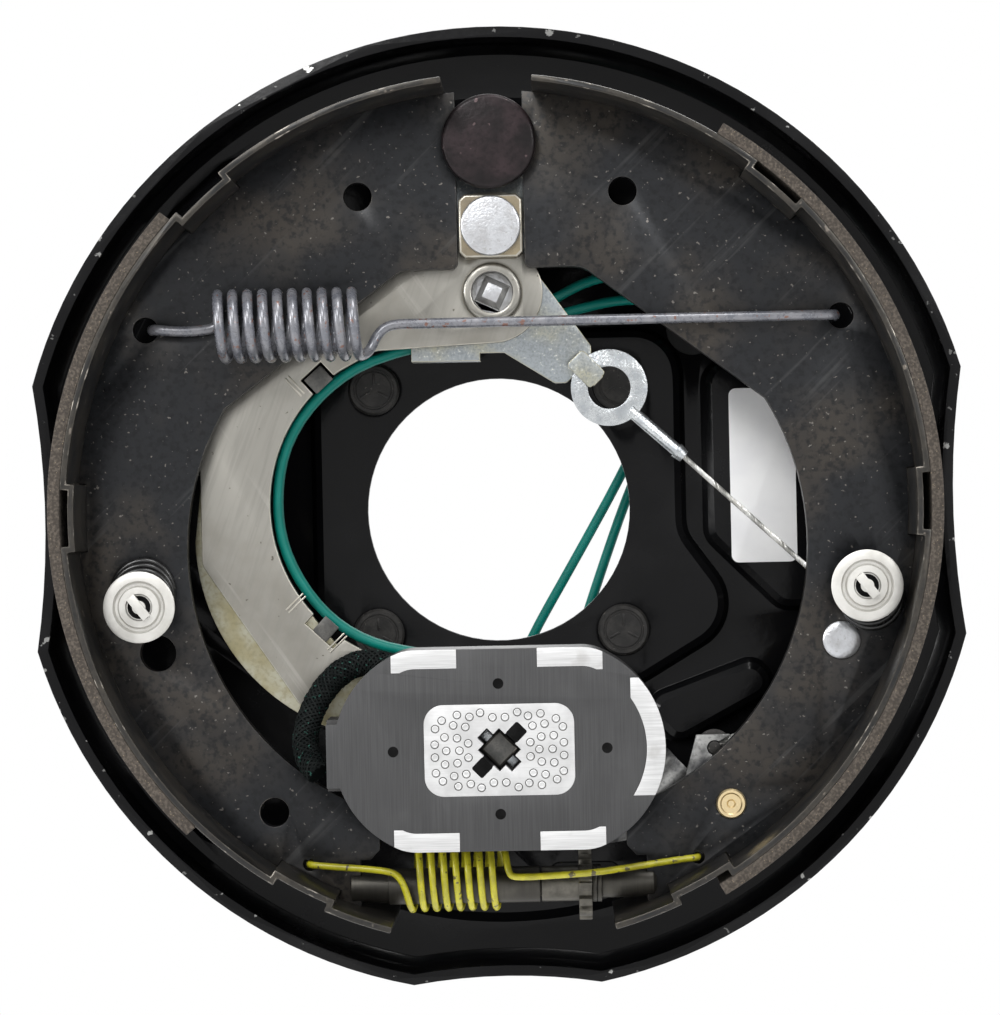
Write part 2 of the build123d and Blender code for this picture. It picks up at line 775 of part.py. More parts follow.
clip_upper = Plane(origin=point(-50.8, lever_back, 38.6), x_dir=(0.743, 0, 0.669), z_dir=(0, -1, 0))
clip_lower = Plane(origin=point(-50.3, lever_back, -33.6), x_dir=(0.731, 0, -0.682), z_dir=(0, -1, 0))
with BuildPart() as wire_clip_tabs:
    # Upper tab, bent back behind the wires
    with BuildSketch(clip_upper.offset(-4.8)):
        with Locations((0, 2.2)):
            Rectangle(6.4, 1.4)
    extrude(amount=4.8 + lever_t)
    with BuildSketch(clip_upper.offset(lever_t - 1.4)):
        with Locations((0, 0.2)):
            Rectangle(6.4, 5.4)
    extrude(amount=1.4)
    # Lower tab, a bridge across its window
    with BuildSketch(clip_lower.offset(lever_t - 1.4)):
        Rectangle(5.2, clip_window[1])
    extrude(amount=1.4)

# Rear arm of the lever: it stiffens the plate and carries the magnet post
with BuildPart() as lever_rear_arm:
    with BuildSketch(front(arm_back)) as arm_outline:
        with BuildLine():
            ThreePointArc((-66.4, 52.0), (-69.4, 4.0), (-44.6, -41.0))
            Polyline((-44.6, -41.0), (-20.0, -53.6), (0, magnet_z + 12.4))
            ThreePointArc((0, magnet_z + 12.4), (12.4, magnet_z), (0, magnet_z - 12.4))
            Polyline((0, magnet_z - 12.4), (-26.0, -73.0), (-52.0, -61.6))
            ThreePointArc((-52.0, -61.6), (-79.4, -37.6), (-88.0, -8.0))
            Polyline((-88.0, -8.0), (-84.0, 26.0), (-66.4, 52.0))
        make_face()
        fillet(arm_outline.vertices().sort_by_distance((-20.0, -53.6))[0], 14)
        fillet(arm_outline.vertices().sort_by_distance((-26.0, -73.0))[0], 20)
    extrude(amount=arm_t)

# Bushing of the lever, with a rounded rim that stands proud of the plate
with BuildPart() as lever_pivot_bushing:
    add(disc(bushing_r, lever_back, lever_front + bushing_proud, 0, pivot_z))
    chamfer(lever_pivot_bushing.faces().sort_by(Axis.Y)[0].edges(), 0.7)
    add(
        disc(pivot_r + running, lever_back - 1, lever_front + bushing_proud + 1, 0, pivot_z),
        mode=Mode.SUBTRACT,
    )

# Rivet that carries the block
with BuildPart() as block_rivet:
    add(disc(block_hole_r - running, lever_back, block_front + snug, 0, block_z))
    add(disc(rivet_head_r, block_front + snug, block_front + snug + rivet_head_t, 0, block_z))
    chamfer(block_rivet.faces().sort_by(Axis.Y)[0].edges(), 0.5)

# Block between the two web ends, which turns on its rivet
with BuildPart() as cam_block:
    with BuildSketch(front(block_back)) as block_outline:
        with Locations((0, block_z)):
            Rectangle(block_side, block_side)
            chamfer(block_outline.vertices(), block_chamfer)
            Circle(block_hole_r, mode=Mode.SUBTRACT)
    extrude(amount=block_t)
    chamfer(cam_block.faces().sort_by(Axis.Y)[0].outer_wire().edges(), 0.5)

# Magnet post: square, set on its corner
post_front = magnet_face - 5.0
with BuildPart() as magnet_post:
    with BuildSketch(front(lever_back)):
        with Locations(Location((0, magnet_z), 45)):
            RectangleRounded(post_side, post_side, 0.8)
    extrude(amount=post_front - lever_back)
    chamfer(magnet_post.faces().sort_by(Axis.Y)[0].edges(), 0.6)
    with BuildSketch(front(post_front - 3.0)):
        with Locations(Location((0, magnet_z), -45)):
            Rectangle(post_side + 4, 2.6 + 2 * snug)
    extrude(amount=1.5 + snug, mode=Mode.SUBTRACT)

with BuildPart() as magnet_retainer:
    with BuildSketch(front(post_front - 3.0)):
        with Locations(Location((0, magnet_z), -45)):
            Rectangle(12.6, 2.6)
    extrude(amount=1.5)

with BuildPart() as magnet_spring_seat:
    with BuildSketch(front(lever_back)):
        with Locations((0, magnet_z)):
            Circle(7.4)
        with Locations(Location((0, magnet_z), 45)):
            Rectangle(post_side + 2 * snug, post_side + 2 * snug, mode=Mode.SUBTRACT)
    extrude(amount=1.5)


# Magnet: an oval steel case, a coil in it, a dark face plate and a light centre plate
def magnet_outline(inset=0.0):
    """Oval with a flat top and bottom, drawn in by the inset."""
    half_x, half_z = magnet_size[0] / 2, magnet_size[1] / 2
    with BuildSketch() as outline:
        with BuildLine():
            Line((-magnet_flat_half, half_z), (magnet_flat_half, half_z))
            ThreePointArc((magnet_flat_half, half_z), (half_x, 0), (magnet_flat_half, -half_z))
            Line((magnet_flat_half, -half_z), (-magnet_flat_half, -half_z))
            ThreePointArc((-magnet_flat_half, -half_z), (-half_x, 0), (-magnet_flat_half, half_z))
        make_face()
        fillet(outline.vertices(), 14)
        if inset:
            offset(amount=-inset, mode=Mode.REPLACE)
    return outline.sketch


def rim_patches():
    """Parts of the magnet's rim where the bare case shows."""
    with BuildSketch() as patches:
        with Locations((-20.8, 26), (20.2, 26), (-20.8, -26), (20.2, -26)):
            Rectangle(18.4, 8.0)
        with Locations((magnet_size[0] / 2 - 2.6, 3.0)):
            Rectangle(14.0, 33.0)
        add(magnet_outline(), mode=Mode.INTERSECT)
        add(magnet_outline(magnet_band), mode=Mode.SUBTRACT)
    return patches.sketch


def cross_outline():
    """Cross-shaped opening for the post, turned by 45 degrees."""
    with BuildSketch() as cross:
        with Locations(Location((0, 0), 45)):
            Rectangle(post_hole_side, post_hole_side)
            Rectangle(cross_reach[0], cross_arm)
            Rectangle(cross_arm, cross_reach[1])
    return cross.sketch


face_back = magnet_face - magnet_face_t
magnet_left = -magnet_size[0] / 2
with BuildPart() as magnet_case:
    with BuildSketch(front(magnet_back)):
        with Locations((0, magnet_z)):
            add(magnet_outline())
        with Locations((magnet_left + 1.0, magnet_z - 1.0)):
            Rectangle(6.0, 20.0)
    extrude(amount=face_back - magnet_back)
    with BuildSketch(front(face_back)):
        with Locations((0, magnet_z)):
            add(rim_patches())
    extrude(amount=magnet_face_t)
    with BuildSketch(front(magnet_back + 4.0)):
        with Locations((0, magnet_z)):
            add(magnet_outline(coil_wall))
            add(magnet_outline(coil_wall + coil_band), mode=Mode.SUBTRACT)
    extrude(amount=face_back - magnet_back - 4.0, mode=Mode.SUBTRACT)
    with BuildSketch(front(magnet_back)):
        with Locations(Location((0, magnet_z), 45)):
            Rectangle(post_hole_side, post_hole_side)
    extrude(amount=face_back - magnet_back, mode=Mode.SUBTRACT)
    with BuildSketch(front(post_front - 3.0)):
        with Locations((0, magnet_z)):
            add(cross_outline())
    extrude(amount=face_back - post_front + 3.0, mode=Mode.SUBTRACT)

with BuildPart() as magnet_coil:
    with BuildSketch(front(magnet_back + 4.0)):
        with Locations((0, magnet_z)):
            add(magnet_outline(coil_wall + gap))
            add(magnet_outline(coil_wall + coil_band - gap), mode=Mode.SUBTRACT)
    extrude(amount=face_back - magnet_back - 4.0)

with BuildPart() as magnet_face_plate:
    with BuildSketch(front(face_back)):
        with Locations((0, magnet_z)):
            add(magnet_outline())
            add(rim_patches(), mode=Mode.SUBTRACT)
            RectangleRounded(*centre_plate_size, centre_plate_corner, mode=Mode.SUBTRACT)
        with Locations((magnet_left + 0.2, magnet_z - 1.0)):
            Rectangle(4.4, 18.0)
    extrude(amount=magnet_face_t)

with BuildPart() as magnet_centre_plate:
    with BuildSketch(front(face_back)):
        with Locations((0, magnet_z)):
            RectangleRounded(*centre_plate_size, centre_plate_corner)
            add(cross_outline(), mode=Mode.SUBTRACT)
    extrude(amount=magnet_face_t)

# Conical spring between the arm and the magnet
magnet_spring = bent_spring(
    coil_towards_drum(
        (0, magnet_z),
        (0, magnet_z),
        lever_back + magnet_wire_r * 1.2,
        magnet_back - magnet_wire_r * 1.2,
        magnet_spring_r,
        magnet_spring_turns,
    ),
    magnet_wire_r,
)

# Adjuster: a forked nut, a screw with its star wheel and a forked cap
socket_slot = web_t + 2 * gap


def round_along_x(radius, start, stop):
    """Round bar on the adjuster's axis between two places on X."""
    with BuildPart() as bar:
        with BuildSketch(Plane(origin=point(start, web_mid, adjuster_z), x_dir=(0, 1, 0), z_dir=(1, 0, 0))):
            Circle(radius)
        extrude(amount=stop - start)
    return bar.part


def fork_slot(start, stop):
    """Slot that lets the web's edge into a forked end."""
    with BuildPart() as slot:
        with BuildSketch(front(web_mid - socket_slot / 2)):
            with Locations(((start + stop) / 2, adjuster_z)):
                Rectangle(stop - start, 4 * nut_r)
        extrude(amount=socket_slot)
    return slot.part


fork_start = adjuster_half - adjuster_slot_depth
with BuildPart() as adjuster_nut:
    add(round_along_x(fork_r, -adjuster_half, -33.3))
    add(round_along_x(nut_r, -33.3, nut_end_x))
    add(fork_slot(-adjuster_half - 1, -fork_start), mode=Mode.SUBTRACT)
    add(round_along_x(thread_r + running, -24.0, nut_end_x + 1), mode=Mode.SUBTRACT)

with BuildPart() as adjuster_screw:
    add(round_along_x(thread_r, -22.0, star_x[0]))
    add(round_along_x(collar_r, nut_end_x + 0.5, star_x[0]))
    with BuildSketch(Plane(origin=point(star_x[0], web_mid, adjuster_z), x_dir=(0, 1, 0), z_dir=(1, 0, 0))):
        Circle(star_root_r)
        tooth_width = pi * star_r / star_teeth
        for tooth in range(star_teeth):
            with Locations(Location((0, 0), 360 * tooth / star_teeth)):
                with Locations(((star_root_r + star_r) / 2 - 0.5, 0)):
                    Rectangle(star_r - star_root_r + 1, tooth_width)
    extrude(amount=star_x[1] - star_x[0])
    add(round_along_x(thread_r, star_x[1], star_x[1] + 12.0))

washer_end = star_x[1] + 2 * washer_t + 0.3
with BuildPart() as thrust_washers:
    for start in (star_x[1] + 0.1, star_x[1] + washer_t + 0.2):
        add(round_along_x(nut_r + 0.2, start, start + washer_t))
    add(round_along_x(thread_r + running, star_x[1], washer_end + 1), mode=Mode.SUBTRACT)

with BuildPart() as adjuster_cap:
    add(round_along_x(cap_r, washer_end, adjuster_half))
    chamfer(adjuster_cap.faces().sort_by(Axis.X)[-1].edges(), 1.0)
    add(fork_slot(fork_start, adjuster_half + 1), mode=Mode.SUBTRACT)
    add(round_along_x(thread_r + running, washer_end - 1, star_x[1] + 12.5), mode=Mode.SUBTRACT)

# Retractor spring between the upper parts of the two webs
spring_hook_x = web_hole_spring[0] - web_hole_spring[2] + retractor_wire_r * 1.1 + gap
rod_height = web_front + 5.0
retractor_height = web_front + retractor_r + retractor_wire_r * 1.1 + gap
hook_end = web_back - 1.5
retractor_coil = coil_along_x(
    retractor_start_x, retractor_height, retractor_z, retractor_r, retractor_pitch, retractor_turns, 0
)
retractor_end_x = retractor_start_x + retractor_pitch * retractor_turns
leg_height = web_front + retractor_wire_r * 1.1 + gap
retractor_spring = bent_spring(
    [point(-spring_hook_x, hook_end, retractor_z), point(-spring_hook_x, leg_height - 0.6, retractor_z)]
    + [point(-spring_hook_x + 1.0, leg_height + 0.6, retractor_z)]
    + [point(-88.0, leg_height + 0.8, retractor_z - 1.2)]
    + retractor_coil
    + [
        point(retractor_end_x + 2.6, retractor_height - 3.4, retractor_z - retractor_r + 1.4),
        point(retractor_end_x + 4.6, rod_height + 0.4, retractor_z - 3.0),
        point(retractor_end_x + 8.4, rod_height, retractor_z + 0.2),
        point(spring_hook_x - 1.6, rod_height, retractor_z),
        point(spring_hook_x, rod_height - 1.6, retractor_z),
        point(spring_hook_x, hook_end, retractor_z),
    ],
    retractor_wire_r,
)

# Yellow spring between the lower ends of the webs, coiled around the adjuster
lower_hook_x = web_hole_lower_spring[0]
lower_leg_height = web_front + lower_wire_r * 1.1 + gap
lower_coil = coil_along_x(
    lower_start_x, web_mid, lower_z, lower_r, lower_pitch, lower_turns, -90
)
lower_end_x = lower_start_x + lower_pitch * lower_turns
star_clear_height = web_mid + star_r + lower_wire_r * 1.1 + gap
adjuster_spring = bent_spring(
    [
        point(-lower_hook_x, hook_end, web_hole_lower_spring[1]),
        point(-lower_hook_x, lower_leg_height - 0.5, web_hole_lower_spring[1]),
        point(-lower_hook_x + 1.0, lower_leg_height + 0.5, web_hole_lower_spring[1]),
        point(-33.0, lower_leg_height + 4.4, -102.8),
        point(-30.0, web_mid + lower_r - 0.6, -104.4),
        point(-28.2, web_mid + lower_r - 0.2, -108.0),
        point(-27.2, web_mid + 7.4, -112.6),
        point(-26.6, web_mid + 3.6, -114.7),
    ]
    + lower_coil
    + [
        point(lower_end_x + 0.6, web_mid + 3.8, lower_z + lower_r - 0.8),
        point(lower_end_x + 1.2, web_mid + 7.4, lower_z + 6.0),
        point(lower_end_x + 2.0, web_mid + lower_r, lower_z + 1.2),
        point(lower_end_x + 3.6, web_mid + lower_r + 0.4, lower_z - 0.2),
        point(star_x[0] - 2.0, star_clear_height, lower_z + 0.8),
        point(star_x[1] + 2.0, star_clear_height, lower_z + 1.2),
        point(lower_hook_x - 1.0, lower_leg_height + 0.5, web_hole_lower_spring[1]),
        point(lower_hook_x, lower_leg_height - 0.5, web_hole_lower_spring[1]),
        point(lower_hook_x, hook_end, web_hole_lower_spring[1]),
    ],
    lower_wire_r,
)


# Hold-downs: a pin from behind the plate, a spring on the web and a cup that locks on the pin
def hold_down_pin(place):
    """Pin with a round head behind the plate and a flat head in front of the cup."""
    x, z = place
    back = inner_floor - sheet
    length, width, thick = pin_head
    with BuildPart() as pin:
        add(disc(pin_r, back, cup_height + cup_t + gap, x, z))
        add(disc(5.0, back - 1.6, back, x, z))
        with BuildSketch(front(cup_height + cup_t)):
            with Locations(Location((x, z), -52)):
                Rectangle(length, width)
        extrude(amount=thick)
    return pin


def hold_down_cup(place):
    """Pressed cup with a flat rim, a groove and a slotted centre."""
    x, z = place
    inner_groove, outer_groove = cup_groove_r
    with BuildPart() as cup:
        add(disc(cup_r, cup_height, cup_height + cup_t, x, z))
        add(disc(outer_groove, cup_height - 1.2, cup_height, x, z))
        with BuildSketch(front(cup_height + cup_t)):
            with Locations((x, z)):
                Circle(outer_groove - 0.4)
                Circle(inner_groove, mode=Mode.SUBTRACT)
        extrude(amount=-1.1, mode=Mode.SUBTRACT)
        with BuildSketch(front(cup_height - 1.2)):
            with Locations(Location((x, z), 38)):
                SlotOverall(9.6, 2 * pin_r + 0.8)
        extrude(amount=cup_t + 1.2, mode=Mode.SUBTRACT)
    return cup


def hold_down_spring(foot, head):
    """Coil between the web and the cup, with its foot slipped sideways on the web."""
    edge = hold_down_wire_r * 1.1 + gap
    return bent_spring(
        coil_towards_drum(
            foot, head, web_front + edge, cup_height - edge, (hold_down_r, hold_down_r), hold_down_turns
        ),
        hold_down_wire_r,
    )


primary_hold_down_pin = hold_down_pin(primary_cup)
primary_hold_down_cup = hold_down_cup(primary_cup)
primary_hold_down_spring = hold_down_spring(primary_foot, primary_cup)
secondary_hold_down_pin = hold_down_pin(secondary_cup)
secondary_hold_down_cup = hold_down_cup(secondary_cup)
secondary_hold_down_spring = hold_down_spring(secondary_foot, secondary_cup)

# Rubber plug in the adjusting slot behind the star wheel
with BuildPart() as adjuster_slot_plug:
    with BuildSketch(front(inner_floor - sheet - 2.0)):
        with Locations(slot_place):
            SlotOverall(slot_size[0] + 3.0, slot_size[1] + 2.0)
    extrude(amount=2.0)
    with BuildSketch(front(inner_floor - sheet)):
        with Locations(slot_place):
            SlotOverall(slot_size[0] - 2 * snug, slot_size[1] - 2 * snug)
    extrude(amount=sheet + 1.0)

# Grommet of the two wires
wire_places = (
    (grommet[0] - grommet_half_spread, grommet[1] + grommet_half_spread),
    (grommet[0] + grommet_half_spread, grommet[1] - grommet_half_spread),
)
grommet_back = inner_floor - sheet - 1.8
grommet_front = inner_floor + 1.8
with BuildPart() as wire_grommet:
    add(disc(grommet_r, grommet_back, grommet_front, *grommet))
    add(disc(grommet_flange_r, grommet_back, inner_floor - sheet, *grommet))
    add(disc(grommet_flange_r, inner_floor, grommet_front, *grommet))

# Wires on the drum side, from the grommet to the back of the lever
harness_routes = (
    (
        point(wire_places[0][0], grommet_front, wire_places[0][1]),
        point(wire_places[0][0] - 1.0, 9.0, wire_places[0][1] + 4.0),
        point(46.0, 18.0, 67.5),
        point(31.0, 23.0, 68.0),
        point(17.0, 25.5, 61.0),
        point(3.0, 26.88, 52.27),
        point(-14.0, 27.6, 49.5),
    ),
    (
        point(wire_places[1][0], grommet_front, wire_places[1][1]),
        point(wire_places[1][0] - 1.0, 8.0, wire_places[1][1] + 3.0),
        point(50.0, 16.0, 60.0),
        point(38.0, 19.5, 61.4),
        point(21.0, 21.5, 57.4),
        point(6.0, 23.36, 52.76),
        point(-14.0, 24.2, 49.5),
    ),
)
# Wires on the lever, which run beside the rear arm and turn into the sleeve
lever_routes = (
    (
        point(-14.0, 27.6, 49.5),
        point(-33.0, 28.4, 46.4),
        point(-50.0, 30.0, 36.4),
        point(-61.6, 30.7, 21.0),
        point(-64.6, 30.7, 3.0),
        point(-62.0, 30.7, -13.0),
        point(-52.0, 30.7, -29.0),
        point(-38.0, 30.7, -38.6),
        point(-20.0, 30.9, -42.0),
        point(-16.4, 36.3, -45.1),
        point(-20.0, 41.7, -48.2),
        point(-27.2, 42.0, -48.4),
    ),
    (
        point(-14.0, 24.2, 49.5),
        point(-33.0, 25.0, 46.4),
        point(-50.0, 26.6, 36.4),
        point(-61.6, 27.3, 21.0),
        point(-64.6, 27.3, 3.0),
        point(-62.0, 27.3, -13.0),
        point(-52.0, 27.3, -29.0),
        point(-38.0, 27.3, -38.6),
        point(-17.0, 28.0, -42.6),
        point(-12.9, 35.0, -43.8),
        point(-17.0, 42.0, -45.0),
        point(-27.2, 42.0, -45.0),
    ),
)
sleeve_route = (
    point(-27.2, 42.0, -46.7),
    point(-34.5, 41.8, -42.9),
    point(-43.0, 41.8, -43.6),
    point(-51.0, 42.4, -50.4),
    point(magnet_left - 9.2, 46.0, -60.5),
    point(magnet_left - 9.4, 50.6, -70.0),
    point(magnet_left - 5.4, 53.2, -74.2),
)
with BuildPart() as harness_wires:
    for route in harness_routes:
        add(rod(route, cord_radii(route), wire_r).part)

with BuildPart() as magnet_wires:
    for route in lever_routes:
        add(rod(route, cord_radii(route), wire_r).part)

wire_sleeve = rod(sleeve_route, cord_radii(sleeve_route), sleeve_r)

# Free leads behind the plate, to the trailer's wiring
lead_a_route = (
    point(wire_places[0][0], grommet_back, wire_places[0][1]),
    point(wire_places[0][0] - 0.6, -11.0, wire_places[0][1] - 2.0),
    point(51.0, -13.0, 38.0),
    point(39.0, -12.0, 13.0),
    point(23.5, -12.0, -14.0),
    point(6.4, -12.4, -42.7),
    point(-4.0, -14.0, -69.0),
    point(-8.0, -16.0, -97.0),
)
lead_b_route = (
    point(wire_places[1][0], grommet_back, wire_places[1][1]),
    point(wire_places[1][0] - 1.0, -12.0, wire_places[1][1] - 2.6),
    point(51.0, -15.0, 30.0),
    point(39.4, -15.5, 5.3),
    point(30.4, -15.0, -19.0),
    point(22.1, -15.0, -43.1),
    point(17.0, -16.0, -70.0),
    point(19.0, -17.0, -97.0),
)
lead_wire_a = rod(lead_a_route, cord_radii(lead_a_route), wire_r)
lead_wire_b = rod(lead_b_route, cord_radii(lead_b_route), wire_r)

pieces = {
    "backing_plate": backing_plate,
    "mounting_studs": mounting_studs,
    "anchor_post": anchor_post,
    "lever_pivot_pin": lever_pivot_pin,
    "cable_anchor_plate": cable_anchor_plate,
    "cable_eye": cable_eye,
    "adjuster_cable": adjuster_cable,
    "cable_guide": cable_guide,
    "guide_rivet": guide_rivet,
    "primary_web": primary_web,
    "primary_table": primary_table,
    "primary_lining": primary_lining,
    "secondary_web": secondary_web,
    "secondary_table": secondary_table,
    "secondary_lining": secondary_lining,
    "pawl_pin": pawl_pin,
    "pawl_lever": pawl_lever,
    "cable_link": cable_link,
    "actuating_lever": actuating_lever,
    "wire_clip_tabs": wire_clip_tabs,
    "lever_rear_arm": lever_rear_arm,
    "lever_pivot_bushing": lever_pivot_bushing,
    "block_rivet": block_rivet,
    "cam_block": cam_block,
    "magnet_post": magnet_post,
    "magnet_retainer": magnet_retainer,
    "magnet_spring_seat": magnet_spring_seat,
    "magnet_spring": magnet_spring,
    "magnet_case": magnet_case,
    "magnet_coil": magnet_coil,
    "magnet_face_plate": magnet_face_plate,
    "magnet_centre_plate": magnet_centre_plate,
    "adjuster_nut": adjuster_nut,
    "adjuster_screw": adjuster_screw,
    "thrust_washers": thrust_washers,
    "adjuster_cap": adjuster_cap,
    "retractor_spring": retractor_spring,
    "adjuster_spring": adjuster_spring,
    "primary_hold_down_pin": primary_hold_down_pin,
    "primary_hold_down_spring": primary_hold_down_spring,
    "primary_hold_down_cup": primary_hold_down_cup,
    "secondary_hold_down_pin": secondary_hold_down_pin,
    "secondary_hold_down_spring": secondary_hold_down_spring,
    "secondary_hold_down_cup": secondary_hold_down_cup,
    "adjuster_slot_plug": adjuster_slot_plug,
    "wire_grommet": wire_grommet,
    "harness_wires": harness_wires,
    "magnet_wires": magnet_wires,
    "wire_sleeve": wire_sleeve,
    "lead_wire_a": lead_wire_a,
    "lead_wire_b": lead_wire_b,
}
for name, piece in pieces.items():
    piece.part.label = name
    export_step(piece.part, f"parts/{name}.step")
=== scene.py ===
"""Looks of a left-hand electric trailer brake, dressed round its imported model."""

import json
import logging
import math
from dataclasses import dataclass, field
from enum import Enum
from typing import Iterable, Optional, Sequence, Union

import bmesh
import bpy
from mathutils import Matrix, Vector

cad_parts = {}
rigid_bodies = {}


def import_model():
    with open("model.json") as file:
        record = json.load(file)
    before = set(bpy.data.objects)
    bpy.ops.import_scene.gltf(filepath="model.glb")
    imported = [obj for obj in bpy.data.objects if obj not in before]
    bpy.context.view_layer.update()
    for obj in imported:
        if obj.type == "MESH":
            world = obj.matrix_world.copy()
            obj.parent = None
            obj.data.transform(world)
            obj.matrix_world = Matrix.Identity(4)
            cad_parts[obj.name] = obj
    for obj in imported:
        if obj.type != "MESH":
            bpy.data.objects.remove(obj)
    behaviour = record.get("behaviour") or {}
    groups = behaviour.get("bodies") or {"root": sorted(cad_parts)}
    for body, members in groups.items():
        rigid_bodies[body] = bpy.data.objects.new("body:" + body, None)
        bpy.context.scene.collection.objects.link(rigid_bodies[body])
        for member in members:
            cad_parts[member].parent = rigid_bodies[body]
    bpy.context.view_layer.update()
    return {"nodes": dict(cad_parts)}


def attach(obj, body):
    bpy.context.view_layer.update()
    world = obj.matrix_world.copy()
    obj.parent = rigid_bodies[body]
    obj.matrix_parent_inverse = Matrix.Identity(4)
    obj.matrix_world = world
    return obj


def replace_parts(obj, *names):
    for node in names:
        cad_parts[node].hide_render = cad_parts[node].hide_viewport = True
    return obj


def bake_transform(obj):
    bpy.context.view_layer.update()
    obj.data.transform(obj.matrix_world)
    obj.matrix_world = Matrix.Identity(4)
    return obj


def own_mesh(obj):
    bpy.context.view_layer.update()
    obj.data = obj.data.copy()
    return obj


for leftover in list(bpy.data.objects):
    bpy.data.objects.remove(leftover)
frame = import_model()

log = logging.getLogger("brake")
MM = 0.001
Colour = tuple[float, float, float]
Point = tuple[float, float, float]
Spot = tuple[float, float]
Piece = bpy.types.Object
Socket = bpy.types.NodeSocket
Number = Union["Signal", float]

# In millimetres: heights over the mounting face that several classes share, and the magnet's middle on Z
WEB_FRONT, WEB_MID, MAGNET_FACE = 41.0, 38.5, 70.0
MAGNET_Z = -67.3


def at(x: float, height: float, z: float) -> Vector:
    """Point of the model in metres, from x, height over the mounting face and z in millimetres."""
    return Vector((x, -height, z)) * MM


def polar(x: float, z: float, reach: float, turn: float) -> Spot:
    """Place in millimetres at a distance and an angle in radians from x and z."""
    return (x + reach * math.cos(turn), z + reach * math.sin(turn))


def around(x: float, height: float, z: float, reach: float, turn: float) -> Vector:
    """Point at a distance and an angle in radians round an axis that faces the drum."""
    side, rise = polar(x, z, reach, turn)
    return at(side, height, rise)


class Coordinate(Enum):
    """Axis of the object's own coordinates."""

    X = 0
    Y = 1
    Z = 2


class Signal:
    """Number that varies over a surface, written with plain operators."""

    def __init__(self, graph: "Graph", socket: Socket) -> None:
        """Wraps one output socket of a material's nodes."""
        self.graph = graph
        self.socket = socket

    def maths(self, operation: str, *others: Number) -> "Signal":
        """Adds one Math node.

        Args:
            operation: Name of the operation.
            others: Further values of the operation.

        Returns:
            The node's result.
        """
        values = dict(enumerate((self, *others)))
        made = self.graph.node("ShaderNodeMath", {"operation": operation}, values)
        return Signal(self.graph, made.outputs[0])

    def __add__(self, other: Number) -> "Signal":
        """Sum."""
        return self.maths("ADD", other)

    __radd__ = __add__

    def __mul__(self, other: Number) -> "Signal":
        """Product."""
        return self.maths("MULTIPLY", other)

    __rmul__ = __mul__

    def __sub__(self, other: Number) -> "Signal":
        """Difference."""
        return self.maths("SUBTRACT", other)

    def __rsub__(self, other: float) -> "Signal":
        """Difference from a plain number."""
        return (self * -1.0) + other

    def between(self, low: float, high: float) -> "Signal":
        """Smooth step from 0 at low to 1 at high, which may be the smaller of the two."""
        made = self.graph.node(
            "ShaderNodeMapRange",
            {"interpolation_type": "SMOOTHSTEP"},
            {"Value": self, "From Min": low, "From Max": high},
        )
        return Signal(self.graph, made.outputs["Result"])


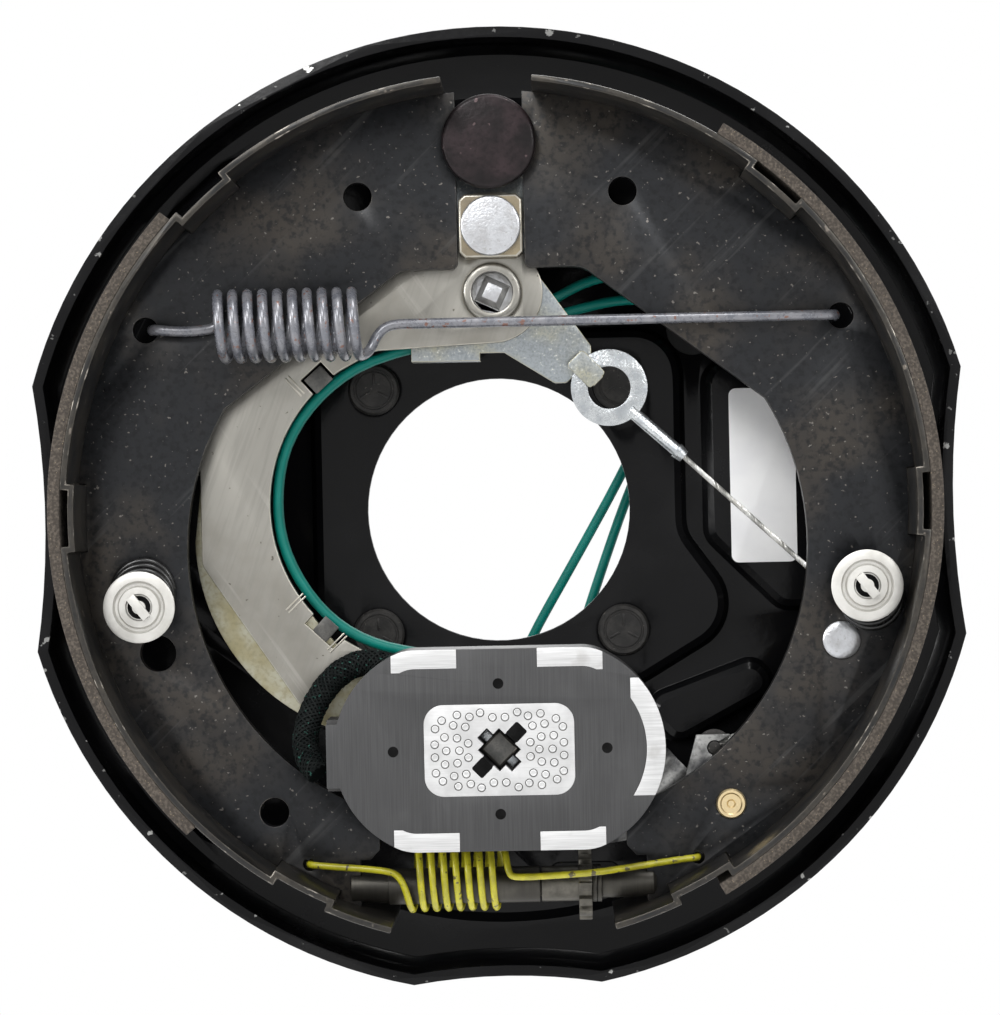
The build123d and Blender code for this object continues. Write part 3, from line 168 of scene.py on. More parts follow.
class Graph:
    """Nodes of one material round a Principled shader."""

    def __init__(self, name: str) -> None:
        """Starts a material with a shader alone.

        Args:
            name: Name of the material.
        """
        self.material = bpy.data.materials.new(name)
        self.material.use_nodes = True
        self.tree = self.material.node_tree
        self.tree.nodes.clear()
        self.output = self.node("ShaderNodeOutputMaterial")
        self.shader = self.node("ShaderNodeBsdfPrincipled")
        self.tree.links.new(self.shader.outputs[0], self.output.inputs[0])
        self.place = self.node("ShaderNodeTexCoord").outputs["Object"]

    def node(
        self, kind: str, settings: Optional[dict] = None, sockets: Optional[dict] = None
    ) -> bpy.types.Node:
        """Adds one node.

        Args:
            kind: Type of the node.
            settings: Its own settings, which are set first.
            sockets: Value or link of each input, by name or number.

        Returns:
            The node.
        """
        made = self.tree.nodes.new(kind)
        for name, value in (settings or {}).items():
            if name == "stops":
                ramp = made.color_ramp
                while len(ramp.elements) < len(value):
                    ramp.elements.new(0.5)
                for element, (position, colour) in zip(ramp.elements, value):
                    element.position = position
                    element.color = (*colour, 1.0)
            else:
                setattr(made, name, value)
        for key, value in (sockets or {}).items():
            self.feed(made.inputs[key], value)
        return made

    def feed(self, socket: Socket, value: object) -> None:
        """Links a signal or a socket to an input, or sets a plain value on it.

        Args:
            socket: The input.
            value: Signal, socket, number or colour.
        """
        if isinstance(value, Signal):
            value = value.socket
        if isinstance(value, Socket):
            self.tree.links.new(value, socket)
        else:
            if socket.type == "RGBA" and len(value) == 3:
                value = (*value, 1.0)
            socket.default_value = value

    def axis(self, which: Coordinate) -> Signal:
        """One of the object's own coordinates, in metres."""
        split = self.node("ShaderNodeSeparateXYZ", None, {0: self.place})
        return Signal(self, split.outputs[which.value])

    def stretched(self, stretch: Point, turn: Point = (0.0, 0.0, 0.0)) -> Socket:
        """Object coordinates turned and then scaled along each axis."""
        made = self.node(
            "ShaderNodeMapping", {"vector_type": "TEXTURE"},
            {"Vector": self.place, "Scale": tuple(1.0 / share for share in stretch), "Rotation": turn},
        )
        return made.outputs[0]

    def noise(
        self, scale: float, detail: float = 3.0, stretch: Optional[Point] = None,
        turn: Point = (0.0, 0.0, 0.0),
    ) -> Signal:
        """Soft noise about 0.5.

        Args:
            scale: Features for each metre.
            detail: Number of finer layers.
            stretch: Scale along each axis, for grain.
            turn: Turn of the grain in radians.

        Returns:
            The noise.
        """
        place = self.stretched(stretch, turn) if stretch else self.place
        made = self.node("ShaderNodeTexNoise", None, {"Vector": place, "Scale": scale, "Detail": detail})
        return Signal(self, made.outputs["Fac"])

    def cells(self, scale: float) -> Signal:
        """Distance to the nearest of many scattered points."""
        made = self.node("ShaderNodeTexVoronoi", None, {"Vector": self.place, "Scale": scale})
        return Signal(self, made.outputs["Distance"])

    def blend(self, share: Number, first: object, second: object) -> Socket:
        """Colour between two colours."""
        sockets = {"Factor": share, 6: first, 7: second}
        return self.node("ShaderNodeMix", {"data_type": "RGBA"}, sockets).outputs[2]

    def relief(self, height: Signal, depth: float) -> None:
        """Feeds a bump of that depth in metres to the shader's normal."""
        made = self.node("ShaderNodeBump", None, {"Height": height, "Distance": depth, "Strength": 1.0})
        self.feed(self.shader.inputs["Normal"], made.outputs[0])

    def set(self, **values: object) -> None:
        """Sets inputs of the shader, with underscores for spaces."""
        for name, value in values.items():
            self.feed(self.shader.inputs[name.replace("_", " ").title().replace("Ior", "IOR")], value)


class Surface:
    """Finish of one or more pieces, which makes its material once."""

    name: str

    def material(self) -> bpy.types.Material:
        """Finds the finish's material, or makes it.

        Returns:
            The material.
        """
        known = bpy.data.materials.get(self.name)
        if known:
            return known
        graph = Graph(self.name)
        self.paint(graph)
        return graph.material

    def paint(self, graph: Graph) -> None:
        """Adds the colours, the gloss and the relief to a material."""
        raise NotImplementedError


@dataclass(frozen=True)
class Finish(Surface):
    """Metal, paint, rubber or wire with mottling, grain, specks and a relief."""

    name: str
    colour: Colour
    second: Colour
    roughness: float
    metallic: float = 0.0
    mottle: float = 60.0
    contrast: Spot = (0.35, 0.7)
    grain: float = 900.0
    grain_stretch: Optional[Point] = None
    grain_turn: Point = (0.0, 0.0, 0.0)
    grain_tone: float = 0.12
    depth: float = 0.00002
    spread: float = 0.12
    speck: Optional[Colour] = None
    speck_scale: float = 700.0
    speck_share: float = 0.62
    scratch: Optional[Colour] = None
    scratch_turn: float = 0.8
    coat: float = 0.0
    gloss: float = 0.5

    def paint(self, graph: Graph) -> None:
        """Mixes the two colours in patches, with grain, specks and scratches over them.

        Args:
            graph: Nodes of the material.
        """
        patches = graph.noise(self.mottle, 5.0)
        grain = graph.noise(self.grain, 3.0, self.grain_stretch, self.grain_turn)
        colour = graph.blend(patches.between(*self.contrast), self.colour, self.second)
        dark = tuple(c * (1.0 - 2.2 * self.grain_tone) for c in self.colour)
        colour = graph.blend(grain.between(0.56, 0.3) * min(1.0, 4 * self.grain_tone), colour, dark)
        if self.speck:
            spots = graph.noise(self.speck_scale, 2.0).between(self.speck_share, self.speck_share + 0.05)
            colour = graph.blend(spots, colour, self.speck)
        if self.scratch:
            marks = graph.noise(300.0, 3.0, (1.0, 1.0, 0.05), (0.0, self.scratch_turn, 0.0))
            colour = graph.blend(marks.between(0.62, 0.74) * 0.28, colour, self.scratch)
        rough = (patches * self.spread) + (grain * self.spread) + (self.roughness - self.spread)
        graph.set(
            base_color=colour, metallic=self.metallic, roughness=rough, specular_ior_level=self.gloss
        )
        if self.coat:
            graph.set(coat_weight=self.coat, coat_roughness=0.15)
        graph.relief(grain, self.depth)


@dataclass(frozen=True)
class PlatePaint(Surface):
    """Black gloss paint over a pressing, dusty in places and chipped bare along its rim."""

    name: str = "plate_paint"
    rim_height: float = 15.0

    def paint(self, graph: Graph) -> None:
        """Mixes dust, fine grain, the rim's chips and a few scratches.

        Args:
            graph: Nodes of the material.
        """
        height = graph.axis(Coordinate.Y) * -1000.0
        dust = graph.noise(26.0, 6.0).between(0.46, 0.8)
        fine = graph.noise(1500.0, 2.0)
        colour = graph.blend(dust, (0.003, 0.003, 0.0034), (0.009, 0.009, 0.0095))
        chips = graph.noise(210.0, 6.0).between(0.655, 0.675)
        on_rim = height.between(self.rim_height - 0.7, self.rim_height - 0.05)
        scratches = graph.noise(420.0, 4.0).between(0.7, 0.715) * 0.4
        bare = (chips * on_rim).maths("MAXIMUM", scratches * height.between(3.5, 9.0))
        colour = graph.blend(bare, colour, (0.3, 0.3, 0.29))
        rough = (dust * 0.16) + (fine * 0.06) + 0.13
        graph.set(base_color=colour, roughness=rough, metallic=bare, specular_ior_level=0.16)
        graph.relief(graph.noise(330.0, 4.0), 0.00005)


@dataclass(frozen=True)
class MagnetFace(Surface):
    """Dark brushed face with fine upright lines and a little rubbed metal."""

    name: str = "magnet_face"

    def paint(self, graph: Graph) -> None:
        """Mixes the brushed lines and the rubbed patches.

        Args:
            graph: Nodes of the material.
        """
        lines = graph.noise(2600.0, 2.0, (1.0, 1.0, 0.02))
        broad = graph.noise(45.0, 4.0)
        colour = graph.blend(lines.between(0.3, 0.75), (0.036, 0.036, 0.037), (0.05, 0.05, 0.051))
        colour = graph.blend(broad.between(0.5, 0.8) * 0.4, colour, (0.075, 0.075, 0.076))
        graph.set(base_color=colour, metallic=0.35, roughness=(lines * 0.2) + 0.42)
        graph.relief(lines, 0.00002)


@dataclass(frozen=True)
class MagnetCase(Surface):
    """Dark case whose front is ground bright."""

    name: str = "magnet_case_steel"
    ground_height: float = 69.6

    def paint(self, graph: Graph) -> None:
        """Mixes the dark sides with the front's grinding lines.

        Args:
            graph: Nodes of the material.
        """
        height = graph.axis(Coordinate.Y) * -1000.0
        front = height.between(self.ground_height - 0.2, self.ground_height + 0.2)
        lines = graph.noise(2600.0, 3.0, (0.03, 1.0, 1.0))
        broad = graph.noise(120.0, 4.0)
        bright = graph.blend(lines.between(0.3, 0.7), (0.48, 0.48, 0.48), (0.6, 0.6, 0.6))
        bright = graph.blend(broad.between(0.55, 0.72) * 0.5, bright, (0.34, 0.33, 0.32))
        dark = graph.blend(broad.between(0.35, 0.7), (0.014, 0.014, 0.015), (0.04, 0.038, 0.037))
        graph.set(
            base_color=graph.blend(front, dark, bright), metallic=(front * 0.3) + 0.3,
            roughness=(lines * 0.2) + 0.36,
        )
        graph.relief(lines, 0.00002)


@dataclass(frozen=True)
class Lining(Surface):
    """Moulded friction lining: brown-grey, with fibres and bright and dark grains."""

    name: str = "friction_lining"

    def paint(self, graph: Graph) -> None:
        """Mixes the fibres and the two kinds of grain.

        Args:
            graph: Nodes of the material.
        """
        grains = graph.cells(900.0)
        fibres = graph.noise(1300.0, 4.0, (1.0, 0.25, 1.0))
        colour = graph.blend(fibres.between(0.4, 0.7), (0.034, 0.027, 0.021), (0.085, 0.07, 0.056))
        colour = graph.blend(grains.between(0.15, 0.09), colour, (0.19, 0.15, 0.1))
        colour = graph.blend(graph.noise(2100.0, 2.0).between(0.66, 0.7), colour, (0.02, 0.018, 0.016))
        graph.set(base_color=colour, roughness=0.9)
        graph.relief(fibres, 0.0001)


class Finishes:
    """Every plain finish of the brake, by what it is on."""

    WEB = Finish(
        "oiled_web_steel", (0.0135, 0.0145, 0.0165), (0.038, 0.0325, 0.027), 0.36, 0.55, mottle=30.0,
        contrast=(0.42, 0.68), grain=620.0, grain_tone=0.2, depth=0.00003, spread=0.2,
        speck=(0.13, 0.12, 0.11), speck_scale=760.0, speck_share=0.68, scratch=(0.1, 0.1, 0.1),
    )
    TABLE = Finish(
        "oiled_table_steel", (0.02, 0.02, 0.02), (0.05, 0.044, 0.036), 0.36, 0.6, mottle=90.0,
        grain=800.0, depth=0.00003, speck=(0.15, 0.13, 0.11), speck_scale=260.0, speck_share=0.68,
    )
    WORN = Finish(
        "worn_steel_edge", (0.05, 0.046, 0.04), (0.34, 0.31, 0.27), 0.35, 0.8, mottle=160.0,
        contrast=(0.56, 0.7), grain=1500.0,
    )
    WEB_EDGE = Finish(
        "sheared_web_edge", (0.03, 0.029, 0.028), (0.17, 0.155, 0.135), 0.4, 0.6, mottle=150.0,
        contrast=(0.55, 0.75), grain=1500.0,
    )
    ANCHOR = Finish(
        "dark_forged_head", (0.0125, 0.0105, 0.011), (0.032, 0.022, 0.024), 0.34, 0.5, mottle=110.0,
        grain=700.0, depth=0.00008, spread=0.16, speck=(0.085, 0.06, 0.062), speck_scale=420.0,
        speck_share=0.68, gloss=0.3,
    )
    BLOCK = Finish(
        "sintered_block", (0.27, 0.225, 0.15), (0.17, 0.145, 0.105), 0.5, 0.55, mottle=160.0,
        grain=2200.0, depth=0.00003,
    )
    RIVET = Finish(
        "bright_rivet", (0.54, 0.55, 0.57), (0.42, 0.42, 0.43), 0.34, 0.85, mottle=340.0,
        grain=1300.0, depth=0.00012, grain_tone=0.1, speck=(0.4, 0.4, 0.4), speck_scale=900.0,
    )
    LEVER = Finish(
        "stamped_lever_steel", (0.3, 0.29, 0.262), (0.225, 0.213, 0.185), 0.36, 0.85, mottle=42.0,
        contrast=(0.42, 0.72), grain=1100.0, grain_stretch=(1.0, 1.0, 0.06), grain_turn=(0, 0.35, 0),
        grain_tone=0.1, depth=0.00001, speck=(0.12, 0.11, 0.09), speck_scale=420.0, speck_share=0.7,
        scratch=(0.5, 0.48, 0.44), scratch_turn=-0.6,
    )
    YELLOW_ZINC = Finish(
        "yellow_zinc", (0.31, 0.28, 0.17), (0.42, 0.41, 0.33), 0.38, 0.85, mottle=120.0,
        grain=900.0, depth=0.00002,
    )
    BLUE_ZINC = Finish(
        "blue_zinc", (0.3, 0.325, 0.34), (0.4, 0.38, 0.27), 0.34, 0.85, mottle=75.0,
        contrast=(0.45, 0.75), grain=1500.0, depth=0.00006, grain_tone=0.16, spread=0.16,
        speck=(0.6, 0.6, 0.56), speck_scale=1500.0, speck_share=0.66,
    )
    GALVANISED = Finish(
        "galvanised_eye", (0.5, 0.52, 0.53), (0.34, 0.36, 0.38), 0.28, 0.85, mottle=260.0,
        grain=1500.0, depth=0.00012, grain_tone=0.12, spread=0.16,
    )
    PAWL = Finish(
        "stamped_pawl", (0.05, 0.05, 0.053), (0.36, 0.36, 0.35), 0.34, 0.75, mottle=70.0,
        contrast=(0.42, 0.56), grain=1100.0, depth=0.00003, grain_tone=0.1,
    )
    CUP = Finish(
        "zinc_cup", (0.6, 0.59, 0.56), (0.48, 0.47, 0.44), 0.46, 0.6, mottle=150.0,
        grain=1400.0, depth=0.00002, grain_tone=0.05,
    )
    GREY_SPRING = Finish(
        "grey_spring_paint", (0.13, 0.135, 0.155), (0.2, 0.2, 0.215), 0.28, 0.3, mottle=230.0,
        grain=900.0, depth=0.00003, speck=(0.16, 0.075, 0.055), speck_scale=520.0,
        speck_share=0.64, coat=0.5,
    )
    YELLOW_SPRING = Finish(
        "yellow_spring_paint", (0.54, 0.5, 0.016), (0.36, 0.33, 0.016), 0.42, 0.0, mottle=260.0,
        grain=1200.0, depth=0.00003, speck=(0.1, 0.085, 0.03), speck_scale=480.0,
        speck_share=0.63, coat=0.3,
    )
    BLACK_SPRING = Finish(
        "black_spring_wire", (0.008, 0.008, 0.008), (0.02, 0.02, 0.02), 0.3, 0.3, mottle=300.0,
        coat=0.3,
    )
    ADJUSTER = Finish(
        "turned_adjuster_steel", (0.05, 0.047, 0.041), (0.085, 0.08, 0.068), 0.42, 0.75, mottle=120.0,
        grain=1600.0, grain_stretch=(1.0, 0.05, 0.05), grain_tone=0.09, depth=0.00002,
    )
    STAR = Finish(
        "worn_star_wheel", (0.13, 0.122, 0.104), (0.07, 0.066, 0.057), 0.4, 0.8, mottle=300.0,
        grain=1300.0, depth=0.00004,
    )
    STUD = Finish(
        "black_stud", (0.02, 0.0195, 0.019), (0.038, 0.036, 0.034), 0.42, 0.3, mottle=260.0, gloss=0.25,
        grain=1500.0, depth=0.00004, speck=(0.12, 0.11, 0.1), speck_scale=800.0, speck_share=0.68,
    )
    BRASS = Finish(
        "brass_pin", (0.5, 0.37, 0.2), (0.36, 0.25, 0.12), 0.36, 0.85, mottle=300.0, grain=1600.0,
    )
    TEAL = Finish(
        "teal_wire", (0.0, 0.17, 0.138), (0.0, 0.14, 0.112), 0.4, 0.0, mottle=120.0, grain=1200.0,
        grain_tone=0.04, depth=0.00001, gloss=0.25,
    )
    RUBBER = Finish(
        "black_rubber", (0.008, 0.008, 0.008), (0.014, 0.014, 0.014), 0.7, mottle=200.0, gloss=0.2,
    )
    STEEL_WIRE = Finish(
        "strand_steel", (0.62, 0.62, 0.6), (0.46, 0.45, 0.42), 0.36, 0.75, mottle=400.0, depth=0.00001,
    )
    GROUND = Finish(
        "ground_pole_steel", (0.57, 0.57, 0.57), (0.46, 0.46, 0.46), 0.42, 0.45, mottle=170.0,
        grain=2600.0, grain_stretch=(0.03, 1.0, 1.0), grain_tone=0.09, depth=0.00002,
        scratch=(0.34, 0.33, 0.32), scratch_turn=1.2,
    )
    POST = Finish(
        "dark_post", (0.07, 0.07, 0.067), (0.12, 0.116, 0.108), 0.42, 0.7, mottle=300.0, grain=1600.0,
    )
    CLIP_BAR = Finish(
        "bright_clip", (0.42, 0.4, 0.35), (0.32, 0.3, 0.25), 0.34, 0.85, mottle=300.0, grain=1500.0,
    )
    COPPER = Finish("coil_wire", (0.25, 0.09, 0.03), (0.2, 0.07, 0.02), 0.35, 0.6, mottle=300.0)
    LABEL = Finish(
        "blank_label", (0.9, 0.9, 0.9), (0.84, 0.84, 0.85), 0.5, mottle=90.0, grain=900.0,
        grain_tone=0.01, depth=0.00001,
    )
    # Near-black painted shade laid over holes and recesses: the face plate's holes, the ends of the post's
    # cross and the cups' slots
    HOLE_SHADE = Finish(
        "painted_hole_shade", (0.004, 0.004, 0.004), (0.008, 0.008, 0.008), 0.85, mottle=200.0, gloss=0.05,
    )
    SLEEVE_CORE = Finish(
        "sleeve_core", (0.003, 0.004, 0.004), (0.005, 0.006, 0.006), 0.85, gloss=0.05,
    )
    SLEEVE_YARN = Finish(
        "sleeve_yarn", (0.005, 0.0065, 0.0065), (0.01, 0.012, 0.0115), 0.75, mottle=400.0,
        grain=2400.0, gloss=0.1, speck=(0.02, 0.07, 0.055), speck_scale=900.0, speck_share=0.64,
    )


class Bench:
    """The operators that the pieces are made with."""

    POINT = 0.02  # Radius in millimetres at which a turned piece closes
    @staticmethod
    def clear() -> None:
        """Leaves edit mode and selects nothing."""
        if bpy.context.object and bpy.context.object.mode != "OBJECT":
            bpy.ops.object.mode_set(mode="OBJECT")
        bpy.ops.object.select_all(action="DESELECT")

    @staticmethod
    def pick(piece: Piece) -> None:
        """Selects one piece alone and makes it active.

        Args:
            piece: The piece.
        """
        Bench.clear()
        piece.select_set(True)
        bpy.context.view_layer.objects.active = piece

    @staticmethod
    def settle(piece: Piece) -> Piece:
        """Moves a piece's place, turn and scale into its mesh.

        Args:
            piece: The piece.

        Returns:
            The same piece.
        """
        Bench.pick(piece)
        bpy.ops.object.transform_apply(location=True, rotation=True, scale=True)
        return piece

    @staticmethod
    def apply(piece: Piece, kind: str, **settings: object) -> None:
        """Adds one modifier and applies it.

        Args:
            piece: The piece.
            kind: Type of the modifier.
            settings: Its settings.
        """
        Bench.pick(piece)
        made = piece.modifiers.new(kind.lower(), kind)
        for name, value in settings.items():
            setattr(made, name, value)
        bpy.ops.object.modifier_apply(modifier=made.name)

    @staticmethod
    def smooth(piece: Piece, degrees: float = 35.0) -> None:
        """Shades a piece smooth, except across sharp edges."""
        Bench.pick(piece)
        bpy.ops.object.shade_smooth_by_angle(angle=math.radians(degrees))

    @staticmethod
    def finish(piece: Piece, name: str, finish: Surface, body: str, slot: str) -> Piece:
        """Names a piece, gives it its material and lets it ride on its body.

        Args:
            piece: The finished mesh.
            name: Name of the piece.
            finish: Finish whose material it gets.
            body: Body that carries it, or nothing for a piece that is left unattached.
            slot: Material slot of the record; not used.

        Returns:
            The piece.
        """
        piece.name = name
        piece.data.materials.clear()
        piece.data.materials.append(finish.material())
        if body:
            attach(piece, body)
        log.info("%s finished on %s", name, body or "two bodies")
        return piece

    @staticmethod
    def turned(profile: Sequence[Spot], x: float, z: float, steps: int = 48) -> Piece:
        """Round piece facing the drum, drawn ring by ring from its back to its front.

        Args:
            profile: Radius and height of each ring in millimetres. The last may have radius 0.
            x: Place of the axis in millimetres.
            z: Height of the axis in the picture in millimetres.
            steps: Sides of each ring.

        Returns:
            The closed mesh.
        """
        Bench.clear()
        (radius, height), *rest = profile
        bpy.ops.mesh.primitive_circle_add(
            vertices=steps, radius=radius * MM, fill_type="NGON", location=at(x, height, z),
            rotation=(math.radians(90), 0, 0),
        )
        piece = Bench.settle(bpy.context.object)
        bpy.ops.object.mode_set(mode="EDIT")
        bpy.ops.mesh.select_all(action="SELECT")
        for wide, tall in rest:
            wide = max(wide, Bench.POINT)
            bpy.ops.mesh.extrude_region_move(TRANSFORM_OT_translate={"value": at(0, tall - height, 0)})
            share = wide / radius
            bpy.ops.transform.resize(value=(share, 1, share), center_override=at(x, tall, z))
            radius, height = wide, tall
        bpy.ops.mesh.select_all(action="SELECT")
        bpy.ops.mesh.normals_make_consistent(inside=False)
        bpy.ops.object.mode_set(mode="OBJECT")
        Bench.smooth(piece)
        return piece

    @staticmethod
    def line(points: Iterable[Vector], order: int = 3) -> Piece:
        """Draws a NURBS curve.

        Args:
            points: Control points in metres.
            order: Order of the spline; 2 is straight runs.

        Returns:
            The curve.
        """
        curve = bpy.data.curves.new("line", "CURVE")
        curve.dimensions = "3D"
        spline = curve.splines.new("NURBS")
        places = list(points)
        spline.points.add(len(places) - 1)
        for control, place in zip(spline.points, places):
            control.co = (*place, 1.0)
        spline.order_u = order
        spline.use_endpoint_u = True
        spline.resolution_u = 4
        curve.resolution_u = 4
        made = bpy.data.objects.new("line", curve)
        bpy.context.scene.collection.objects.link(made)
        return made

    @staticmethod
    def wire(points: Iterable[Vector], radius: float, sides: int = 3, order: int = 3) -> Piece:
        """Round wire with closed ends along control points, as a mesh.

        Args:
            points: Control points in metres.
            radius: Radius in millimetres.
            sides: Bevel resolution, which gives twice as many sides and four.
            order: Order of the spline; 2 is straight runs.

        Returns:
            The mesh.
        """
        made = Bench.line(points, order)
        made.data.bevel_depth = radius * MM
        made.data.bevel_resolution = sides
        made.data.use_fill_caps = True
        Bench.pick(made)
        bpy.ops.object.convert(target="MESH")
        made = bpy.context.object
        bpy.ops.object.mode_set(mode="EDIT")
        bpy.ops.mesh.select_all(action="SELECT")
        bpy.ops.mesh.remove_doubles(threshold=1e-6)
        bpy.ops.mesh.normals_make_consistent(inside=False)
        bpy.ops.object.mode_set(mode="OBJECT")
        Bench.smooth(made, 50.0)
        return made

    @staticmethod
    def centre_line(points: Iterable[Vector]) -> list[Vector]:
        """Follows a route's smooth spline.

        Args:
            points: Control points in metres.

        Returns:
            Points along the spline.
        """
        made = Bench.line(points)
        made.data.resolution_u = made.data.splines[0].resolution_u = 10
        mesh = bpy.data.meshes.new_from_object(made)
        places = [v.co.copy() for v in mesh.vertices]
        bpy.data.objects.remove(made)
        bpy.data.meshes.remove(mesh)
        return places

    @staticmethod
    def join(pieces: Sequence[Piece]) -> Piece:
        """Joins several meshes into the first.

        Args:
            pieces: The meshes.

        Returns:
            The first of them.
        """
        Bench.clear()
        for piece in pieces:
            piece.select_set(True)
        bpy.context.view_layer.objects.active = pieces[0]
        bpy.ops.object.join()
        return pieces[0]

    @staticmethod
    def slab(
        x: float, z: float, size: Spot, low: float, high: float,
        turn: float = 0.0, corner: float = 0.0, edge: float = 0.15,
    ) -> Piece:
        """Flat plate with rounded corners and softened edges.

        Args:
            x: Middle of the plate in millimetres.
            z: Middle of the plate in millimetres.
            size: Width and height of the plate.
            low: Height of its back over the mounting face.
            high: Height of its front.
            turn: Turn in the picture in degrees, counter-clockwise.
            corner: Radius of its corners.
            edge: Width of the softened edges.

        Returns:
            The mesh.
        """
        Bench.clear()
        bpy.ops.mesh.primitive_cube_add(size=1.0, location=at(x, (low + high) / 2, z))
        piece = bpy.context.object
        piece.scale = (size[0] * MM, (high - low) * MM, size[1] * MM)
        piece.rotation_euler = (0.0, math.radians(-turn), 0.0)
        bpy.ops.object.transform_apply(location=False, rotation=False, scale=True)
        if corner:
            bpy.ops.object.mode_set(mode="EDIT")
            cage = bmesh.from_edit_mesh(piece.data)
            for each in cage.edges:
                along = each.verts[0].co - each.verts[1].co
                each.select_set(abs(along.y) > 0.6 * along.length)
            bmesh.update_edit_mesh(piece.data)
            bpy.ops.mesh.bevel(offset=corner * MM, segments=6)
            bpy.ops.object.mode_set(mode="OBJECT")
        Bench.settle(piece)
        Bench.apply(piece, "BEVEL", width=edge * MM, segments=2, limit_method="ANGLE")
        Bench.smooth(piece)
        return piece


class Dress:
    """Gives CAD nodes their finish, smooth curved faces and softened edges."""

    @staticmethod
    def node(
        name: str, finish: object, edge: Optional[Finish] = None, width: float = 0.2, rounds: int = 2
    ) -> None:
        """Dresses one node.

        Args:
            name: Name of the node.
            finish: Finish of its faces.
            edge: Finish of its softened edges, if it differs.
            width: Width of the softened edges in millimetres, or 0.
            rounds: Number of faces across each softened edge.
        """
        piece = frame["nodes"][name]
        piece.material_slots[0].material = finish.material()
        if edge:
            piece.data.materials.append(edge.material())
        Bench.pick(piece)
        bpy.ops.object.shade_smooth()
        weld = piece.modifiers.new("weld", "WELD")
        weld.merge_threshold = 1e-6
        if width:
            flat = piece.modifiers.new("flat", "DECIMATE")
            flat.decimate_type = "DISSOLVE"
            flat.angle_limit = math.radians(0.5)
            soft = piece.modifiers.new("soft", "BEVEL")
            soft.width = width * MM
            soft.segments = rounds
            soft.limit_method = "ANGLE"
            soft.angle_limit = math.radians(40)
            if edge:
                soft.material = 1
        split = piece.modifiers.new("split", "EDGE_SPLIT")
        split.split_angle = math.radians(32)
        log.info("%s dressed", name)


@dataclass
class BackingPlate:
    """Backing plate with its studs, anchor, label, plug and grommet."""

    front: float = 3.2
    stud_pitch: float = 73.0
    stud_radius: float = 5.56
    head_radius: float = 7.6
    head_front: float = 6.5
    head_edge: Spot = (0.6, 0.7)
    ring_radii: tuple[float, float, float, float] = (6.0, 5.85, 5.35, 5.2)
    ring_depth: float = 0.35
    centre: Spot = (1.5, 0.1)
    mark_turns: tuple[int, ...] = (90, 210, 330)
    mark_reach: float = 3.1
    mark_size: Spot = (3.4, 0.7)
    mark_heights: Spot = (-0.3, 0.12)
    knurl_radius: float = 6.0
    shank: Spot = (0.0, -24.0)
    shank_tip: Spot = (1.4, 1.0)
    thread_root: float = 0.45
    thread_ends: Spot = (1.5, 1.6)
    thread_pitch: float = 1.27
    thread_wire: float = 0.42
    thread_steps: int = 20
    label_centre: Spot = (79.0, 8.7)
    label_size: Spot = (19.6, 52.0)
    label_heights: Spot = (-0.05, 0.18)
    label_corner: float = 2.2
    label_edge: float = 0.08

    def build(self) -> None:
        """Dresses the plate and its small pieces, and adds the studs and the label."""
        Dress.node("backing_plate", PlatePaint(), None, 1.5, 3)
        Dress.node("anchor_post", Finishes.ANCHOR, Finishes.ANCHOR, 0.5)
        Dress.node("lever_pivot_pin", Finishes.RIVET, None, 0.4)
        Dress.node("adjuster_slot_plug", Finishes.RUBBER)
        Dress.node("wire_grommet", Finishes.RUBBER)
        self.studs()
        self.label()

    def studs(self) -> None:
        """Makes the four studs: a ringed head with three short marks, a knurl and a threaded shank."""
        half = self.stud_pitch / 2
        back, front = (self.head_front + step for step in self.mark_heights)
        heads, marks = [], []
        for x in (-half, half):
            for z in (-half, half):
                heads.append(self.stud(x, z))
                for turn in self.mark_turns:
                    place = polar(x, z, self.mark_reach, math.radians(turn))
                    marks.append(Bench.slab(*place, self.mark_size, back, front, turn))
        studs = Bench.join(heads + marks)
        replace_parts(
            Bench.finish(studs, "ringed_studs", Finishes.STUD, "plate", "black_oxide"), "mounting_studs"
        )

    def stud(self, x: float, z: float) -> Piece:
        """Makes one stud.

        Args:
            x: Place of its axis in millimetres.
            z: Place of its axis in millimetres.

        Returns:
            Its head, shank and thread as one mesh.
        """
        r, top, (base, end) = self.head_radius, self.head_front, self.shank
        root, first = self.stud_radius - self.thread_root, end + self.shank_tip[1]
        outside, outer, inner, inside = self.ring_radii
        floor, middle = top - self.ring_depth, top - self.centre[1]
        body = Bench.turned(
            [
                (self.stud_radius - self.shank_tip[0], end), (root, first),
                (root, base - self.thread_ends[0]), (self.knurl_radius, base),
                (self.knurl_radius, self.front), (r, self.front),
                (r, top - self.head_edge[1]), (r - self.head_edge[0], top), (outside, top), (outer, floor),
                (inner, floor), (inside, top), (self.centre[0], middle), (0.0, middle),
            ],
            x, z,
        )
        turns = (base - self.thread_ends[1] - first) / self.thread_pitch
        reach, steps = self.stud_radius - self.thread_wire, self.thread_steps
        helix = [
            around(x, first + self.thread_pitch * step / steps, z, reach, step * math.tau / steps)
            for step in range(int(turns * steps))
        ]
        return Bench.join([body, Bench.wire(helix, self.thread_wire, 0, 2)])

    def label(self) -> None:
        """Makes the plain white sticker."""
        back, front = (self.front + step for step in self.label_heights)
        piece = Bench.slab(
            *self.label_centre, self.label_size, back, front, corner=self.label_corner, edge=self.label_edge
        )
        Bench.finish(piece, "blank_label", Finishes.LABEL, "plate", "black_plate")


